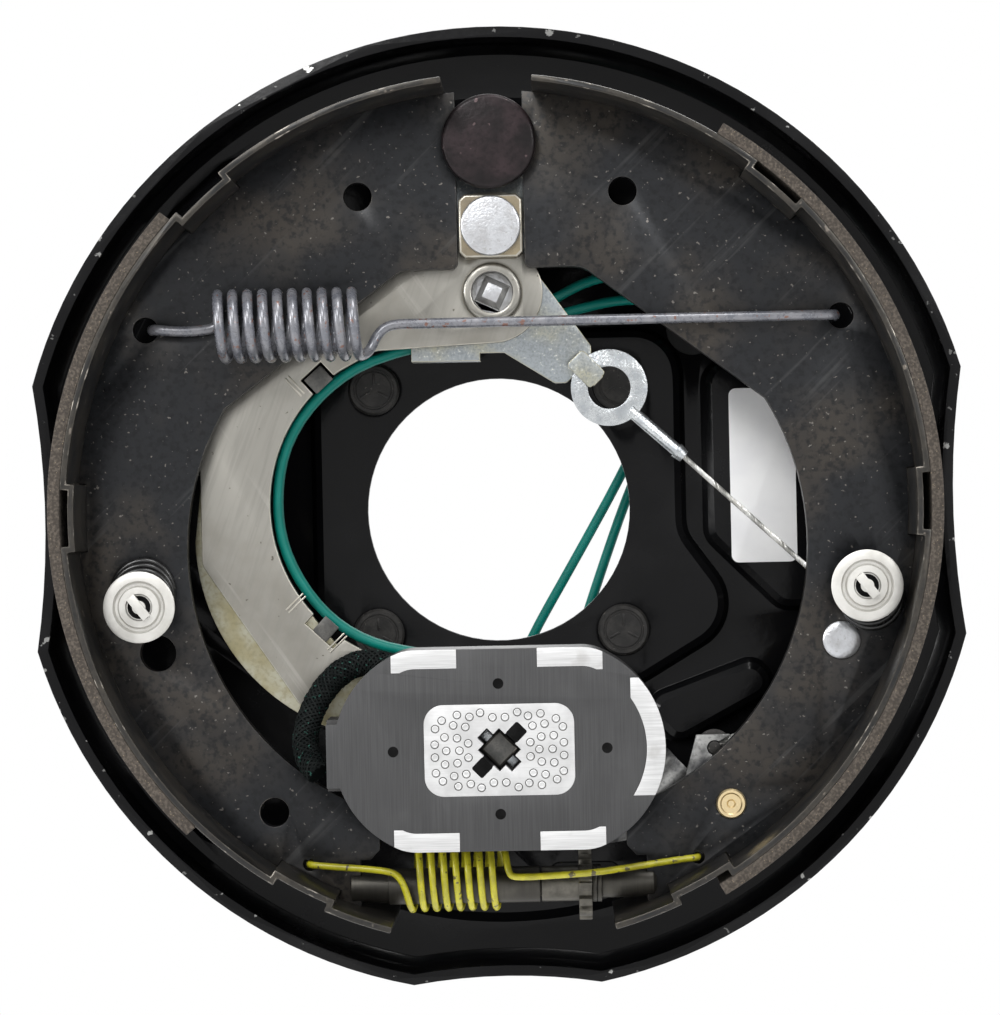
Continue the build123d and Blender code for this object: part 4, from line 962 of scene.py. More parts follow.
@dataclass
class Shoes:
    """Both shoes with the cable guide and the pawl on the right-hand one."""

    rivet: tuple[float, float, float] = (98.5, -39.5, 5.4)
    rivet_back: float = 29.3
    pawl_pin: tuple[float, float, float] = (65.8, -86.0, 4.3)
    pawl_pin_back: float = 31.0

    def build(self) -> None:
        """Dresses the shoes and makes the two pin heads."""
        for side in ("primary", "secondary"):
            Dress.node(f"{side}_web", Finishes.WEB, Finishes.WEB_EDGE, 0.35)
            Dress.node(f"{side}_table", Finishes.TABLE, Finishes.WORN, 0.35)
            Dress.node(f"{side}_lining", Lining(), None, 0.3)
        Dress.node("cable_guide", Finishes.BRASS)
        Dress.node("pawl_lever", Finishes.PAWL, None, 0.2)
        Dress.node("cable_link", Finishes.STUD)
        face = WEB_FRONT
        x, z, r = self.rivet
        head = Bench.turned(
            [
                (r - 0.6, self.rivet_back), (r - 0.6, face), (r, face), (r, face + 0.7),
                (r - 0.5, face + 1.1), (r - 2.2, face + 1.25), (0.0, face + 1.2),
            ],
            x, z,
        )
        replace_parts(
            Bench.finish(head, "guide_rivet_head", Finishes.RIVET, "secondary_shoe", "zinc"), "guide_rivet"
        )
        x, z, r = self.pawl_pin
        pin = Bench.turned(
            [
                (r - 0.3, self.pawl_pin_back), (r - 0.3, face), (r, face), (r, face + 0.5),
                (r - 0.4, face + 0.95), (r - 1.1, face + 0.95), (r - 1.5, face + 0.6), (1.3, face + 0.6),
                (0.9, face + 0.2), (0.0, face + 0.15),
            ],
            x, z,
        )
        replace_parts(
            Bench.finish(pin, "pawl_pin_head", Finishes.BRASS, "secondary_shoe", "brass_pin"), "pawl_pin"
        )


@dataclass
class Lever:
    """Actuating lever with its rear arm, bushing, block and clips, and the cable's anchor plate."""

    bars: tuple[tuple[float, float, float], ...] = (
        (-57.8, 37.0, -49.0), (-58.8, -25.9, 43.0), (-47.1, -37.7, 43.0),
    )
    bar_size: Spot = (7.0, 0.5)
    bar_gap: float = 1.1
    bar_heights: Spot = (-0.2, 0.25)
    lever_front: float = 35.7

    def build(self) -> None:
        """Dresses the lever and adds its stamped bars."""
        Dress.node("actuating_lever", Finishes.LEVER, Finishes.CLIP_BAR, 0.3)
        Dress.node("wire_clip_tabs", Finishes.POST)
        Dress.node("lever_rear_arm", Finishes.YELLOW_ZINC)
        Dress.node("lever_pivot_bushing", Finishes.LEVER, None, 0.5)
        Dress.node("cam_block", Finishes.BLOCK, Finishes.CLIP_BAR, 0.3)
        Dress.node("block_rivet", Finishes.RIVET, None, 0.4)
        Dress.node("cable_anchor_plate", Finishes.BLUE_ZINC, Finishes.YELLOW_ZINC, 0.25)
        back, front = (self.lever_front + step for step in self.bar_heights)
        bars = []
        for x, z, turn in self.bars:
            for side in (-0.5, 0.5):
                place = polar(x, z, side * self.bar_gap, math.radians(turn + 90))
                bars.append(Bench.slab(*place, self.bar_size, back, front, turn))
        Bench.finish(Bench.join(bars), "lever_bars", Finishes.CLIP_BAR, "lever", "lever_steel")


@dataclass
class Magnet:
    """Magnet with its post, plates, dimples and spring."""

    dimples: tuple[Spot, ...] = (
        (16.0, 8.5), (11.7, 10.0), (8.2, 9.4), (5.2, 10.5), (1.75, 9.15), (17.9, 6.2), (12.8, 7.1),
        (9.4, 6.6), (15.3, 3.8), (11.8, 3.5), (18.1, 1.8), (8.7, 2.0), (14.9, 0.0), (11.2, 0.0),
    )
    dimple_radius: float = 0.95
    dimple_steps: int = 14
    # Width and lift of the dark ring of painted shade round each dimple
    groove_shade: Spot = (0.28, 0.02)
    holes: tuple[Spot, ...] = ((0.0, 18.6), (0.0, -18.0), (-29.8, 0.0), (30.2, 0.0))
    hole_radius: float = 1.5
    hole_steps: int = 20
    hole_lift: float = 0.04
    # Place, length and width of the dark slabs of painted shade over the ends of the post's cross
    cross_end_shade: tuple[float, float, float] = (6.9, 4.6, 4.2)
    cross_lift: float = 0.05
    cross_turn: float = 45.0
    cross_corner: float = 0.6
    cross_edge: float = 0.02
    sunk: float = 0.1
    spring_radii: Spot = (12.0, 8.0)
    spring_heights: Spot = (33.5, 47.0)
    spring_turns: float = 2.5
    spring_steps: int = 16
    spring_wire: float = 0.9

    def build(self) -> None:
        """Dresses the magnet's nodes and makes the dimples, the painted shade in the holes of its face and
        the spring.
        """
        Dress.node("magnet_case", MagnetCase(), None, 0.15)
        Dress.node("magnet_coil", Finishes.COPPER, None, 0.0)
        Dress.node("magnet_face_plate", MagnetFace(), None, 0.2)
        Dress.node("magnet_centre_plate", Finishes.GROUND, None, 0.12)
        Dress.node("magnet_post", Finishes.POST, Finishes.WORN, 0.3)
        Dress.node("magnet_retainer", Finishes.GALVANISED)
        Dress.node("magnet_spring_seat", Finishes.RIVET)
        self.dimple_field()
        self.paint_hole_shade()
        self.spring()

    def paint_hole_shade(self) -> None:
        """Makes dark discs over the four small holes of the face plate and dark slabs over the ends of the
        post's cross: painted shade in these recesses.
        """
        r, under, front = self.hole_radius, MAGNET_FACE - self.sunk, MAGNET_FACE + self.hole_lift
        # Dark discs and slabs just over the face stand for the shade inside the holes and the cross's
        # recesses
        made = [
            Bench.turned([(r, under), (r, front), (0.0, front)], x, MAGNET_Z + z, self.hole_steps)
            for x, z in self.holes
        ]
        reach, length, width = self.cross_end_shade
        for side in (-1, 1):
            shift = side * reach * math.sqrt(0.5)
            made.append(
                Bench.slab(
                    shift, MAGNET_Z + shift, (length, width), under, MAGNET_FACE + self.cross_lift,
                    self.cross_turn, self.cross_corner, self.cross_edge,
                )
            )
        Bench.finish(Bench.join(made), "face_plate_hole_shade", Finishes.HOLE_SHADE, "magnet", "magnet_bare")

    def dimple_field(self) -> None:
        """Makes the small ringed dimples of the centre plate, all four corners alike, each a ground crown
        in a dark ring of painted shade.
        """
        places = {(sx * x, sz * z) for x, z in self.dimples for sx in (-1, 1) for sz in (-1, 1)}
        r, face, under = self.dimple_radius, MAGNET_FACE, MAGNET_FACE - self.sunk
        wide, front = r + self.groove_shade[0], face + self.groove_shade[1]
        # Dark ring round each crown: painted shade where the dimple's rim dips
        groove_shade = Bench.turned(
            [(wide, under), (wide, front), (0.0, front)], 0.0, MAGNET_Z, self.dimple_steps
        )
        groove_shades = self.scattered(groove_shade, places)
        Bench.finish(groove_shades, "dimple_groove_shade", Finishes.POST, "magnet", "magnet_bare")
        crown = Bench.turned(
            [
                (r, under), (r, face + 0.04), (r - 0.2, face + 0.15), (r - 0.42, face + 0.06),
                (0.0, face + 0.12),
            ],
            0.0, MAGNET_Z, self.dimple_steps,
        )
        crowns = self.scattered(crown, places)
        Bench.finish(crowns, "centre_plate_dimples", Finishes.GROUND, "magnet", "magnet_bare")

    @staticmethod
    def scattered(first: Piece, places: set[Spot]) -> Piece:
        """Copies a small piece to many places and joins the copies.

        Args:
            first: The piece in the middle, which is used up.
            places: Offsets of the copies in millimetres.

        Returns:
            The joined copies.
        """
        made = []
        for x, z in sorted(places):
            copy = first.copy()
            copy.data = first.data.copy()
            bpy.context.scene.collection.objects.link(copy)
            copy.location = at(x, 0, z)
            made.append(Bench.settle(copy))
        bpy.data.objects.remove(first)
        return Bench.join(made)

    def spring(self) -> None:
        """Makes the cone-shaped spring behind the magnet."""
        count = int(self.spring_turns * self.spring_steps)
        (wide, narrow), (low, high) = self.spring_radii, self.spring_heights
        points = []
        for step in range(count + 1):
            share, turn = step / count, step * math.tau / self.spring_steps
            height, reach = low + (high - low) * share, wide + (narrow - wide) * share
            points.append(around(0.0, height, MAGNET_Z, reach, turn))
        piece = Bench.finish(
            Bench.wire(points, self.spring_wire), "magnet_coil_spring", Finishes.RIVET, "lever", "zinc"
        )
        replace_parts(piece, "magnet_spring")
        at(0, 32.5, MAGNET_Z)
        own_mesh(piece)


@dataclass
class Springs:
    """The two return springs and the two hold-downs."""

    steps: int = 16
    retractor: tuple[float, float, float] = (9.2, 4.25, 9.75)
    retractor_start: float = -79.2
    retractor_wire: float = 1.5
    retractor_z: float = 53.8
    retractor_axis: float = 51.9
    retractor_foot: float = 33.5
    hook_x: float = 98.4
    lower: tuple[float, float, float] = (9.5, 3.45, 7.5)
    lower_start: float = -26.4
    lower_wire: float = 1.0
    lower_z: float = -105.3
    lower_hook: Spot = (56.0, -101.2)
    lower_foot: float = 34.5
    lower_clear: float = 11.9
    hold_down_turns: float = 3.5
    hold_down_radius: float = 8.6 / 0.981
    hold_down_heights: Spot = (42.3, 53.8)
    hold_down_wire: float = 1.0
    cup_profile: tuple[Spot, ...] = (
        (5.9, 53.8), (7.2, 53.8), (7.4, 55.0), (9.9, 55.0), (10.2, 55.4), (10.2, 56.0), (9.7, 56.3),
        (7.5, 56.3), (6.9, 55.0), (6.2, 55.0), (5.7, 56.15), (3.9, 56.3), (3.5, 55.6), (0.0, 55.6),
    )
    # Dark disc just over the cup's centre: painted shade in its slotted hole
    slot_shade_profile: tuple[Spot, ...] = ((3.3, 55.5), (3.3, 55.72), (0.0, 55.72))

    def coil(
        self, start: float, height: float, z: float, coil: tuple[float, float, float], first: float
    ) -> list[Vector]:
        """Control points of a coil about an axis along X, widened so that the spline has the coil's radius.

        Args:
            start: Start on X.
            height: Height of the axis over the mounting face.
            z: Place of the axis on Z.
            coil: Radius, pitch and number of turns.
            first: Angle of the first point in degrees, 0 at the back and 90 at the top.

        Returns:
            The points.
        """
        radius, pitch, turns = coil
        radius /= 0.75 + 0.25 * math.cos(math.tau / self.steps)
        places = []
        for step in range(int(turns * self.steps) + 1):
            turn = math.radians(first) + step * math.tau / self.steps
            x = start + pitch * step / self.steps
            places.append(at(x, height - radius * math.cos(turn), z + radius * math.sin(turn)))
        return places

    def build(self) -> None:
        """Makes all the springs and cups."""
        self.retractor_spring()
        self.adjuster_spring()
        self.hold_down("primary", (-102.0, -25.7), (-102.3, -21.0))
        self.hold_down("secondary", (105.0, -23.7), (107.8, -28.4))

    def retractor_spring(self) -> None:
        """Makes the grey spring across the two webs: its coil, and the leg that reaches the right web."""
        hook, foot, z, axis = self.hook_x, self.retractor_foot, self.retractor_z, self.retractor_axis
        end = self.retractor_start + self.retractor[1] * self.retractor[2]
        leg, rod = WEB_FRONT + 1.9, WEB_FRONT + 5.0
        points = [
            at(-hook, foot, z), at(-hook, foot + 3.0, z), at(-hook, leg - 0.6, z),
            at(-hook + 1.4, leg + 0.7, z), at(-93.0, leg + 0.8, z - 0.5), at(-87.0, leg + 0.7, z - 0.8),
            *self.coil(self.retractor_start, axis, z, self.retractor, 0),
            at(end + 2.6, axis - 3.4, z - 7.8), at(end + 4.6, rod + 0.4, z - 3.0),
            at(end + 8.4, rod, z + 0.2), at(end + 14.0, rod, z),
        ]
        coil = Bench.finish(
            Bench.wire(points, self.retractor_wire, 4), "grey_return_spring", Finishes.GREY_SPRING,
            "", "spring_grey",
        )
        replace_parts(coil, "retractor_spring")
        at(-30, 45, 53.8)
        at(-76, 45, 53.8)
        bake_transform(coil)
        points = [
            at(end + 14.0, rod, z), at(hook - 4.0, rod, z), at(hook, rod - 0.4, z), at(hook, rod - 3.5, z),
            at(hook, foot, z),
        ]
        reach = Bench.finish(
            Bench.wire(points, self.retractor_wire, 4), "grey_spring_reach", Finishes.GREY_SPRING,
            "", "spring_grey",
        )
        at(end + 16.0, 45, 53.8)
        at(self.hook_x - 6.0, 45, 53.8)
        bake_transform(reach)

    def adjuster_spring(self) -> None:
        """Makes the yellow spring round the adjuster."""
        (x, z), foot, low = self.lower_hook, self.lower_foot, self.lower_z
        leg, front, clear = WEB_FRONT + 1.4, WEB_MID + self.lower[0], WEB_MID + self.lower_clear
        end = self.lower_start + self.lower[1] * self.lower[2]
        points = [
            at(-x, foot, z), at(-x, foot + 3.0, z), at(-x, leg - 0.5, z), at(-x + 1.0, leg + 0.5, z),
            at(-x + 5.0, leg + 1.2, z - 0.4), at(-33.0, leg + 4.4, -102.8), at(-30.0, front - 0.6, -104.4),
            at(-28.2, front - 0.2, -108.0), at(-27.2, WEB_MID + 7.4, -112.6),
            at(-26.6, WEB_MID + 3.6, -114.7),
            *self.coil(self.lower_start, WEB_MID, low, self.lower, -90),
            at(end + 0.6, WEB_MID + 3.8, low + 8.7), at(end + 1.2, WEB_MID + 7.4, low + 6.0),
            at(end + 2.0, front, low + 1.2), at(end + 3.6, front + 0.4, low - 0.2),
            at(19.5, clear, low + 0.8), at(27.3, clear, low + 1.2), at(x - 5.0, leg + 1.6, z - 0.2),
            at(x - 1.0, leg + 0.5, z), at(x, leg - 0.5, z), at(x, foot, z),
        ]
        piece = Bench.finish(
            Bench.wire(points, self.lower_wire, 3), "yellow_adjuster_spring", Finishes.YELLOW_SPRING,
            "", "spring_yellow",
        )
        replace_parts(piece, "adjuster_spring")
        at(2, 40, -105)
        at(50, 40, -105)
        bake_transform(piece)

    def hold_down(self, side: str, cup: Spot, foot: Spot) -> None:
        """Makes one hold-down: coil, cup with a slotted centre, a dark disc of painted shade in that slot,
        and the pin's head.

        Args:
            side: Name of the shoe's side.
            cup: Middle of the cup.
            foot: Middle of the spring's foot on the web.
        """
        count, (low, high) = int(self.hold_down_turns * self.steps), self.hold_down_heights
        points = []
        for step in range(count + 1):
            share, turn = step / count, step * math.tau / self.steps
            x, z = (low_end + (top_end - low_end) * share for top_end, low_end in zip(cup, foot))
            points.append(around(x, low + (high - low) * share, z, self.hold_down_radius, turn))
        coil = Bench.finish(
            Bench.wire(points, self.hold_down_wire, 3), f"{side}_hold_down_coil", Finishes.BLACK_SPRING,
            "", "spring_black",
        )
        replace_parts(coil, f"{side}_hold_down_spring")
        at(*self.place(cup, 53.0))
        at(*self.place(foot, 43.0))
        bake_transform(coil)
        disc = Bench.turned(self.cup_profile, *cup, 64)
        cup_piece = Bench.finish(disc, f"{side}_cup_disc", Finishes.CUP, "plate", "zinc")
        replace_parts(cup_piece, f"{side}_hold_down_cup")
        # Near-black disc over the cup's middle: painted shade in the slot round the pin
        slot = Bench.turned(self.slot_shade_profile, *cup, 24)
        Bench.finish(slot, f"{side}_cup_slot_shade", Finishes.HOLE_SHADE, "plate", "zinc")
        Dress.node(f"{side}_hold_down_pin", Finishes.CUP, None, 0.3)

    @staticmethod
    def place(spot: Spot, height: float) -> tuple[float, float, float]:
        """Place and height in the order that a point takes."""
        return (spot[0], height, spot[1])


@dataclass
class Adjuster:
    """Adjuster with its socket, screw, star wheel and cap."""

    edges: tuple[tuple[str, Finish, float], ...] = (
        ("adjuster_nut", Finishes.ADJUSTER, 0.3), ("adjuster_screw", Finishes.STAR, 0.25),
        ("thrust_washers", Finishes.ADJUSTER, 0.15), ("adjuster_cap", Finishes.ADJUSTER, 0.3),
    )

    def build(self) -> None:
        """Dresses the adjuster."""
        for node, finish, width in self.edges:
            Dress.node(node, finish, None, width)


@dataclass
class Cable:
    """Cable of the self-adjuster, from its eye round the guide to the pawl."""

    ferrule_start: Spot = (39.2, 28.1)
    ferrule_end: Spot = (54.6, 14.2)
    guide: Spot = (98.5, -39.5)
    guide_radius: float = 9.34
    link: Spot = (61.6, -70.2)
    heights: Spot = (33.5, 33.2)
    radius: float = 0.8
    strands: int = 6
    lay: float = 5.2
    spacing: float = 0.45
    eye_grip: float = 3.5
    link_grip: float = 1.9

    def tangent(self, outside: Spot, sign: int) -> Spot:
        """Finds where a run to an outside point leaves the guide.

        Args:
            outside: The point.
            sign: Side of the guide that the run touches, 1 or -1.

        Returns:
            The place on the guide.
        """
        dx, dz = self.guide[0] - outside[0], self.guide[1] - outside[1]
        run = math.sqrt(dx * dx + dz * dz - self.guide_radius**2)
        turn = math.atan2(dz, dx) + sign * math.atan2(self.guide_radius, run)
        return polar(*outside, run, turn)

    def build(self) -> None:
        """Dresses the eye and makes the stranded cable in two stretches."""
        Dress.node("cable_eye", Finishes.GALVANISED, None, 0.35)
        on, off = self.tangent(self.ferrule_end, 1), self.tangent(self.link, -1)
        first = math.atan2(on[1] - self.guide[1], on[0] - self.guide[0])
        last = math.atan2(off[1] - self.guide[1], off[0] - self.guide[0])
        middle = (first + last) / 2
        back = Vector(self.ferrule_end) - Vector(self.ferrule_start)
        start = Vector(self.ferrule_end) - back.normalized() * self.eye_grip
        upper = self.run((start.x, self.heights[0], start.y), (on[0], self.heights[1], on[1]))
        upper += self.wrap(first, middle)
        lower = self.wrap(middle, last)
        toward = (Vector(self.link) - Vector(off)).normalized()
        end = Vector(self.link) - toward * self.link_grip
        lower += self.run((off[0], self.heights[1], off[1]), (end.x, self.heights[1], end.y))
        top = self.stranded(
            upper, "cable_upper", at(54, 33, 14), at(80, 33, -12)
        )
        self.stranded(lower, "cable_lower", at(104, 33, -50), at(64, 33, -70))
        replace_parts(top, "adjuster_cable")

    def run(self, first: Point, last: Point) -> list[Vector]:
        """Spaces points evenly along a straight stretch.

        Args:
            first: Start of the stretch in millimetres.
            last: End of the stretch.

        Returns:
            The points.
        """
        a, b = at(*first), at(*last)
        count = max(2, int((b - a).length / (self.spacing * MM)))
        return [a.lerp(b, step / count) for step in range(count + 1)]

    def wrap(self, first: float, last: float) -> list[Vector]:
        """Spaces points along a stretch on the guide, without its ends.

        Args:
            first: Angle of its start in radians.
            last: Angle of its end.

        Returns:
            The points.
        """
        (x, z), span = self.guide, last - first
        count = max(2, int(abs(span) * self.guide_radius / self.spacing))
        return [
            around(x, self.heights[1], z, self.guide_radius, first + span * step / count)
            for step in range(1, count)
        ]

    def stranded(
        self, path: list[Vector], name: str, start: Vector, end: Vector
    ) -> Piece:
        """Twists the strands round a path.

        Args:
            path: Points of the cable's middle.
            name: Name of the piece.
            start: Where it starts to leave the first body; not used.
            end: Where it fully follows the second body; not used.

        Returns:
            The piece.
        """
        thin = self.radius / 3
        made = [Bench.wire(path[::6] + [path[-1]], thin, 1)]
        for strand in range(self.strands):
            points, along = [], 0.0
            for step, place in enumerate(path):
                after = path[min(step + 1, len(path) - 1)]
                before = path[max(step - 1, 0)]
                tangent = (after - before).normalized()
                side = Vector((0, -1, 0)).cross(tangent).normalized()
                up = tangent.cross(side)
                along += (place - before).length
                turn = math.tau * (along / (self.lay * MM) + strand / self.strands)
                points.append(place + (side * math.cos(turn) + up * math.sin(turn)) * 2 * thin * MM)
            made.append(Bench.wire(points, thin, 0, 2))
        piece = Bench.finish(Bench.join(made), name, Finishes.STEEL_WIRE, "", "cable_steel")
        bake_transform(piece)
        return piece


@dataclass
class Wiring:
    """Green wires, the braided sleeve and the two free leads."""

    wire: float = 1.5
    sleeve_radius: float = 3.75
    core_inset: float = 0.45
    yarn_inset: float = 0.35
    yarn_count: int = 12
    yarn_steps: int = 84
    yarn_wire: float = 0.34
    yarn_lay: float = 0.0165
    weave: float = 0.16
    routes: dict[str, tuple[Point, ...]] = field(
        default_factory=lambda: {
            "harness_wire_a": (
                (56.8, 0.0, 55.2), (55.8, 9.0, 59.2), (46.0, 18.0, 67.5), (31.0, 23.0, 68.0),
                (17.0, 25.5, 61.0), (3.0, 26.88, 52.27), (-14.0, 27.6, 49.5),
            ),
            "harness_wire_b": (
                (61.2, 0.0, 50.8), (60.2, 8.0, 53.8), (50.0, 16.0, 60.0), (38.0, 19.5, 61.4),
                (21.0, 21.5, 57.4), (6.0, 23.36, 52.76), (-14.0, 24.2, 49.5),
            ),
            "magnet_wire_a": (
                (-14.0, 27.6, 49.5), (-33.0, 28.4, 46.4), (-50.0, 30.0, 36.4), (-61.6, 30.7, 21.0),
                (-64.6, 30.7, 3.0), (-62.0, 30.7, -13.0), (-52.0, 30.7, -29.0), (-38.0, 30.7, -38.6),
                (-20.0, 30.9, -42.0), (-16.4, 36.3, -45.1), (-20.0, 41.7, -48.2), (-27.2, 42.0, -48.4),
            ),
            "magnet_wire_b": (
                (-14.0, 24.2, 49.5), (-33.0, 25.0, 46.4), (-50.0, 26.6, 36.4), (-61.6, 27.3, 21.0),
                (-64.6, 27.3, 3.0), (-62.0, 27.3, -13.0), (-52.0, 27.3, -29.0), (-38.0, 27.3, -38.6),
                (-17.0, 28.0, -42.6), (-12.9, 35.0, -43.8), (-17.0, 42.0, -45.0), (-27.2, 42.0, -45.0),
            ),
        }
    )
    sleeve: tuple[Point, ...] = (
        (-27.2, 42.0, -46.7), (-34.5, 41.8, -42.9), (-43.0, 41.8, -43.6), (-51.0, 42.4, -50.4),
        (-55.8, 46.0, -60.5), (-56.0, 50.6, -70.0), (-52.0, 53.2, -74.2),
    )
    lead_a: tuple[Point, ...] = (
        (56.8, -6.8, 55.2), (56.2, -11.0, 53.2), (51.0, -13.0, 38.0), (39.0, -12.0, 13.0),
        (23.5, -12.0, -14.0), (6.4, -12.4, -42.7), (-4.0, -14.0, -69.0), (-8.0, -16.0, -97.0),
    )
    lead_b: tuple[Point, ...] = (
        (61.2, -6.8, 50.8), (60.2, -12.0, 48.2), (51.0, -15.0, 30.0), (39.4, -15.5, 5.3),
        (30.4, -15.0, -19.0), (22.1, -15.0, -43.1), (17.0, -16.0, -70.0), (19.0, -17.0, -97.0),
    )

    def build(self) -> None:
        """Makes every wire."""
        for name, lead, length in (("lead_a", self.lead_a, 0.169), ("lead_b", self.lead_b, 0.159)):
            self.lead(name, lead, length)
        made = {
            name: Bench.wire([at(*p) for p in route], self.wire, 3) for name, route in self.routes.items()
        }
        harness = Bench.join([made["harness_wire_a"], made["harness_wire_b"]])
        Bench.finish(harness, "harness_pair", Finishes.TEAL, "plate", "wire_green")
        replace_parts(harness, "harness_wires")
        pair = Bench.join([made["magnet_wire_a"], made["magnet_wire_b"]])
        Bench.finish(pair, "magnet_pair", Finishes.TEAL, "", "wire_green")
        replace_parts(pair, "magnet_wires")
        at(-14.5, 26, 49.5)
        at(-46.0, 26, 40.0)
        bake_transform(pair)
        self.braid()

    def lead(self, name: str, route: tuple[Point, ...], length: float) -> None:
        """Makes one free lead behind the plate.

        Args:
            name: Name of the piece.
            route: Control points in millimetres.
            length: Length of the real lead in metres; not used.
        """
        line = Bench.line([at(*p) for p in route])
        line.data.bevel_depth = self.wire * MM
        line.data.bevel_resolution = 3
        line.data.use_fill_caps = True
        piece = Bench.finish(line, name, Finishes.TEAL, "plate", "wire_green")
        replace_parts(piece, f"lead_wire_{name[-1]}")
        at(*route[0])

    def braid(self) -> None:
        """Makes the sleeve: a core with crossing yarns round it."""
        path = Bench.centre_line([at(*p) for p in self.sleeve])
        core = Bench.wire([at(*p) for p in self.sleeve], self.sleeve_radius - self.core_inset, 4)
        lengths = [0.0]
        for before, after in zip(path, path[1:]):
            lengths.append(lengths[-1] + (after - before).length)
        yarns = [
            self.yarn(path, lengths, way, number) for way in (-1, 1) for number in range(self.yarn_count)
        ]
        piece = Bench.join(yarns)
        Bench.finish(piece, "braided_yarns", Finishes.SLEEVE_YARN, "", "sleeve_black")
        at(-60, 49, -68)
        at(-50, 53, -74)
        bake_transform(piece)
        Bench.finish(core, "braided_core", Finishes.SLEEVE_CORE, "", "sleeve_black")
        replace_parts(core, "wire_sleeve")
        at(-60, 49, -68)
        at(-50, 53, -74)
        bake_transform(core)

    def yarn(self, path: list[Vector], lengths: list[float], way: int, number: int) -> Piece:
        """Winds one yarn round the sleeve, over and under the ones that cross it.

        Args:
            path: Points of the sleeve's middle.
            lengths: Length of the path up to each point.
            way: Sense of the winding, 1 or -1.
            number: Place among the yarns of that sense.

        Returns:
            The yarn.
        """
        points = []
        for step in range(self.yarn_steps + 1):
            along = lengths[-1] * step / self.yarn_steps
            index = max(i for i, value in enumerate(lengths) if value <= along + 1e-9)
            index = min(index, len(path) - 2)
            share = (along - lengths[index]) / max(1e-9, lengths[index + 1] - lengths[index])
            place = path[index].lerp(path[index + 1], share)
            tangent = (path[index + 1] - path[index]).normalized()
            side = Vector((0.25, -1, 0.1)).cross(tangent).normalized()
            up = tangent.cross(side)
            turns = along / self.yarn_lay
            turn = math.tau * (way * turns + number / self.yarn_count)
            wave = self.weave * math.sin(math.tau * (turns * self.yarn_count * 2 + number / 2)) * way
            reach = (self.sleeve_radius - self.yarn_inset + wave) * MM
            points.append(place + (side * math.cos(turn) + up * math.sin(turn)) * reach)
        return Bench.wire(points, self.yarn_wire, 0, 3)


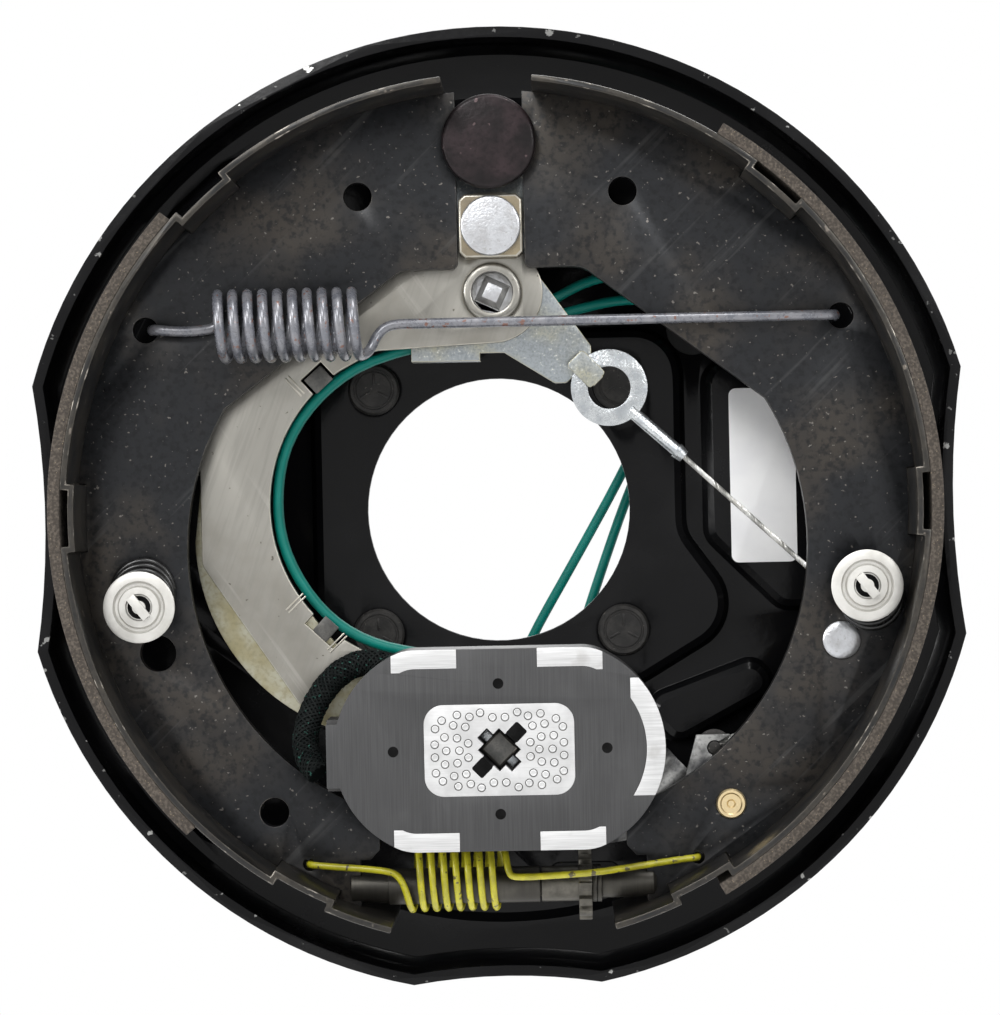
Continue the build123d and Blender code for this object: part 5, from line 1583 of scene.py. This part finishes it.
@dataclass
class Studio:
    """White surroundings, soft lamps and the camera."""

    camera_place: Point = (20.0, 1068.0, 0.0)
    aim: Point = (0.3, 0.0, 0.6)
    roll: float = 1.2
    lens: float = 126.44
    soft_light: float = 0.75
    floor_size: float = 3.0
    floor_z: float = -0.42
    floor_fade: Spot = (0.45, 1.3)

    def build(self) -> None:
        """Makes the camera, the lamps, the world and the floor."""
        self.camera()
        self.lamps()
        self.world()
        self.surroundings()

    def camera(self) -> None:
        """Puts the camera where the picture was taken from."""
        data = bpy.data.cameras.new("camera")
        data.lens, data.sensor_width, data.clip_start, data.clip_end = self.lens, 36.0, 0.01, 50.0
        eye = bpy.data.objects.new("camera", data)
        bpy.context.scene.collection.objects.link(eye)
        place, target = at(*self.camera_place), at(*self.aim)
        back = (place - target).normalized()
        up = Vector((math.sin(math.radians(self.roll)), 0, math.cos(math.radians(self.roll))))
        side = up.cross(back).normalized()
        up = back.cross(side)
        turn = Matrix((side, up, back)).transposed().to_4x4()
        eye.matrix_world = Matrix.Translation(place) @ turn
        bpy.context.scene.camera = eye

    def lamps(self) -> None:
        """Hangs large soft lamps above, beside and behind the camera."""
        for name, place, size, power in (
            ("key", (-0.45, -1.3, 0.85), 0.42, 9.0),
            ("left", (-1.5, -0.8, 0.35), 0.5, 12.0),
            ("top", (0.3, -0.8, 1.5), 0.5, 10.0),
            ("fill", (0.9, -1.2, 0.5), 0.4, 5.0),
            ("low", (0.1, -1.3, -0.8), 0.4, 4.0),
            ("back", (0.2, 1.3, 0.8), 1.0, 8.0),
        ):
            data = bpy.data.lights.new(name, "AREA")
            data.energy, data.size = power, size
            lamp = bpy.data.objects.new(name, data)
            bpy.context.scene.collection.objects.link(lamp)
            lamp.location = place
            lamp.rotation_euler = (-Vector(place)).to_track_quat("-Z", "Y").to_euler()

    def world(self) -> None:
        """Lights all round with a plain soft grey and shows white to the camera."""
        world = bpy.data.worlds.new("studio")
        bpy.context.scene.world = world
        world.use_nodes = True
        tree = world.node_tree
        tree.nodes.clear()
        output, mix, rays = (
            tree.nodes.new(f"ShaderNode{kind}") for kind in ("OutputWorld", "MixShader", "LightPath")
        )
        for number, strength in enumerate((self.soft_light, 1.0), start=1):
            shade = tree.nodes.new("ShaderNodeBackground")
            shade.inputs["Color"].default_value = (1, 1, 1, 1)
            shade.inputs["Strength"].default_value = strength
            tree.links.new(shade.outputs[0], mix.inputs[number])
        seen = rays.outputs["Is Camera Ray"]
        for kind in ("Is Glossy Ray", "Is Transmission Ray"):
            either = tree.nodes.new("ShaderNodeMath")
            either.operation = "MAXIMUM"
            tree.links.new(seen, either.inputs[0])
            tree.links.new(rays.outputs[kind], either.inputs[1])
            seen = either.outputs[0]
        tree.links.new(seen, mix.inputs[0])
        tree.links.new(mix.outputs[0], output.inputs[0])
        bpy.context.scene.view_settings.view_transform = "Standard"

    def surroundings(self) -> None:
        """Lays the pale floor, which fades to white for the camera."""
        Bench.clear()
        bpy.ops.mesh.primitive_plane_add(size=self.floor_size, location=(0, 0, self.floor_z))
        floor = bpy.context.object
        floor.name = "floor"
        graph = Graph("pale_floor")
        graph.set(base_color=(0.85, 0.85, 0.85), roughness=0.8)
        far = graph.node("ShaderNodeVectorMath", {"operation": "LENGTH"}, {0: graph.place})
        faded = Signal(graph, far.outputs["Value"]).between(*self.floor_fade)
        seen = Signal(graph, graph.node("ShaderNodeLightPath").outputs["Is Camera Ray"])
        white = graph.node("ShaderNodeEmission", None, {"Color": (1.0, 1.0, 1.0), "Strength": 1.0})
        mixed = graph.node(
            "ShaderNodeMixShader", None, {0: faded * seen, 1: graph.shader.outputs[0], 2: white.outputs[0]}
        )
        graph.feed(graph.output.inputs[0], mixed.outputs[0])
        floor.data.materials.append(graph.material)


def main() -> None:
    """Builds every sub-assembly and the studio."""
    logging.basicConfig(level=logging.INFO, format="%(message)s")
    Studio().build()
    for part in (Wiring(), BackingPlate(), Shoes(), Lever(), Magnet(), Springs(), Adjuster(), Cable()):
        part.build()
        log.info("%s built", type(part).__name__)


if __name__ == "__main__":
    main()
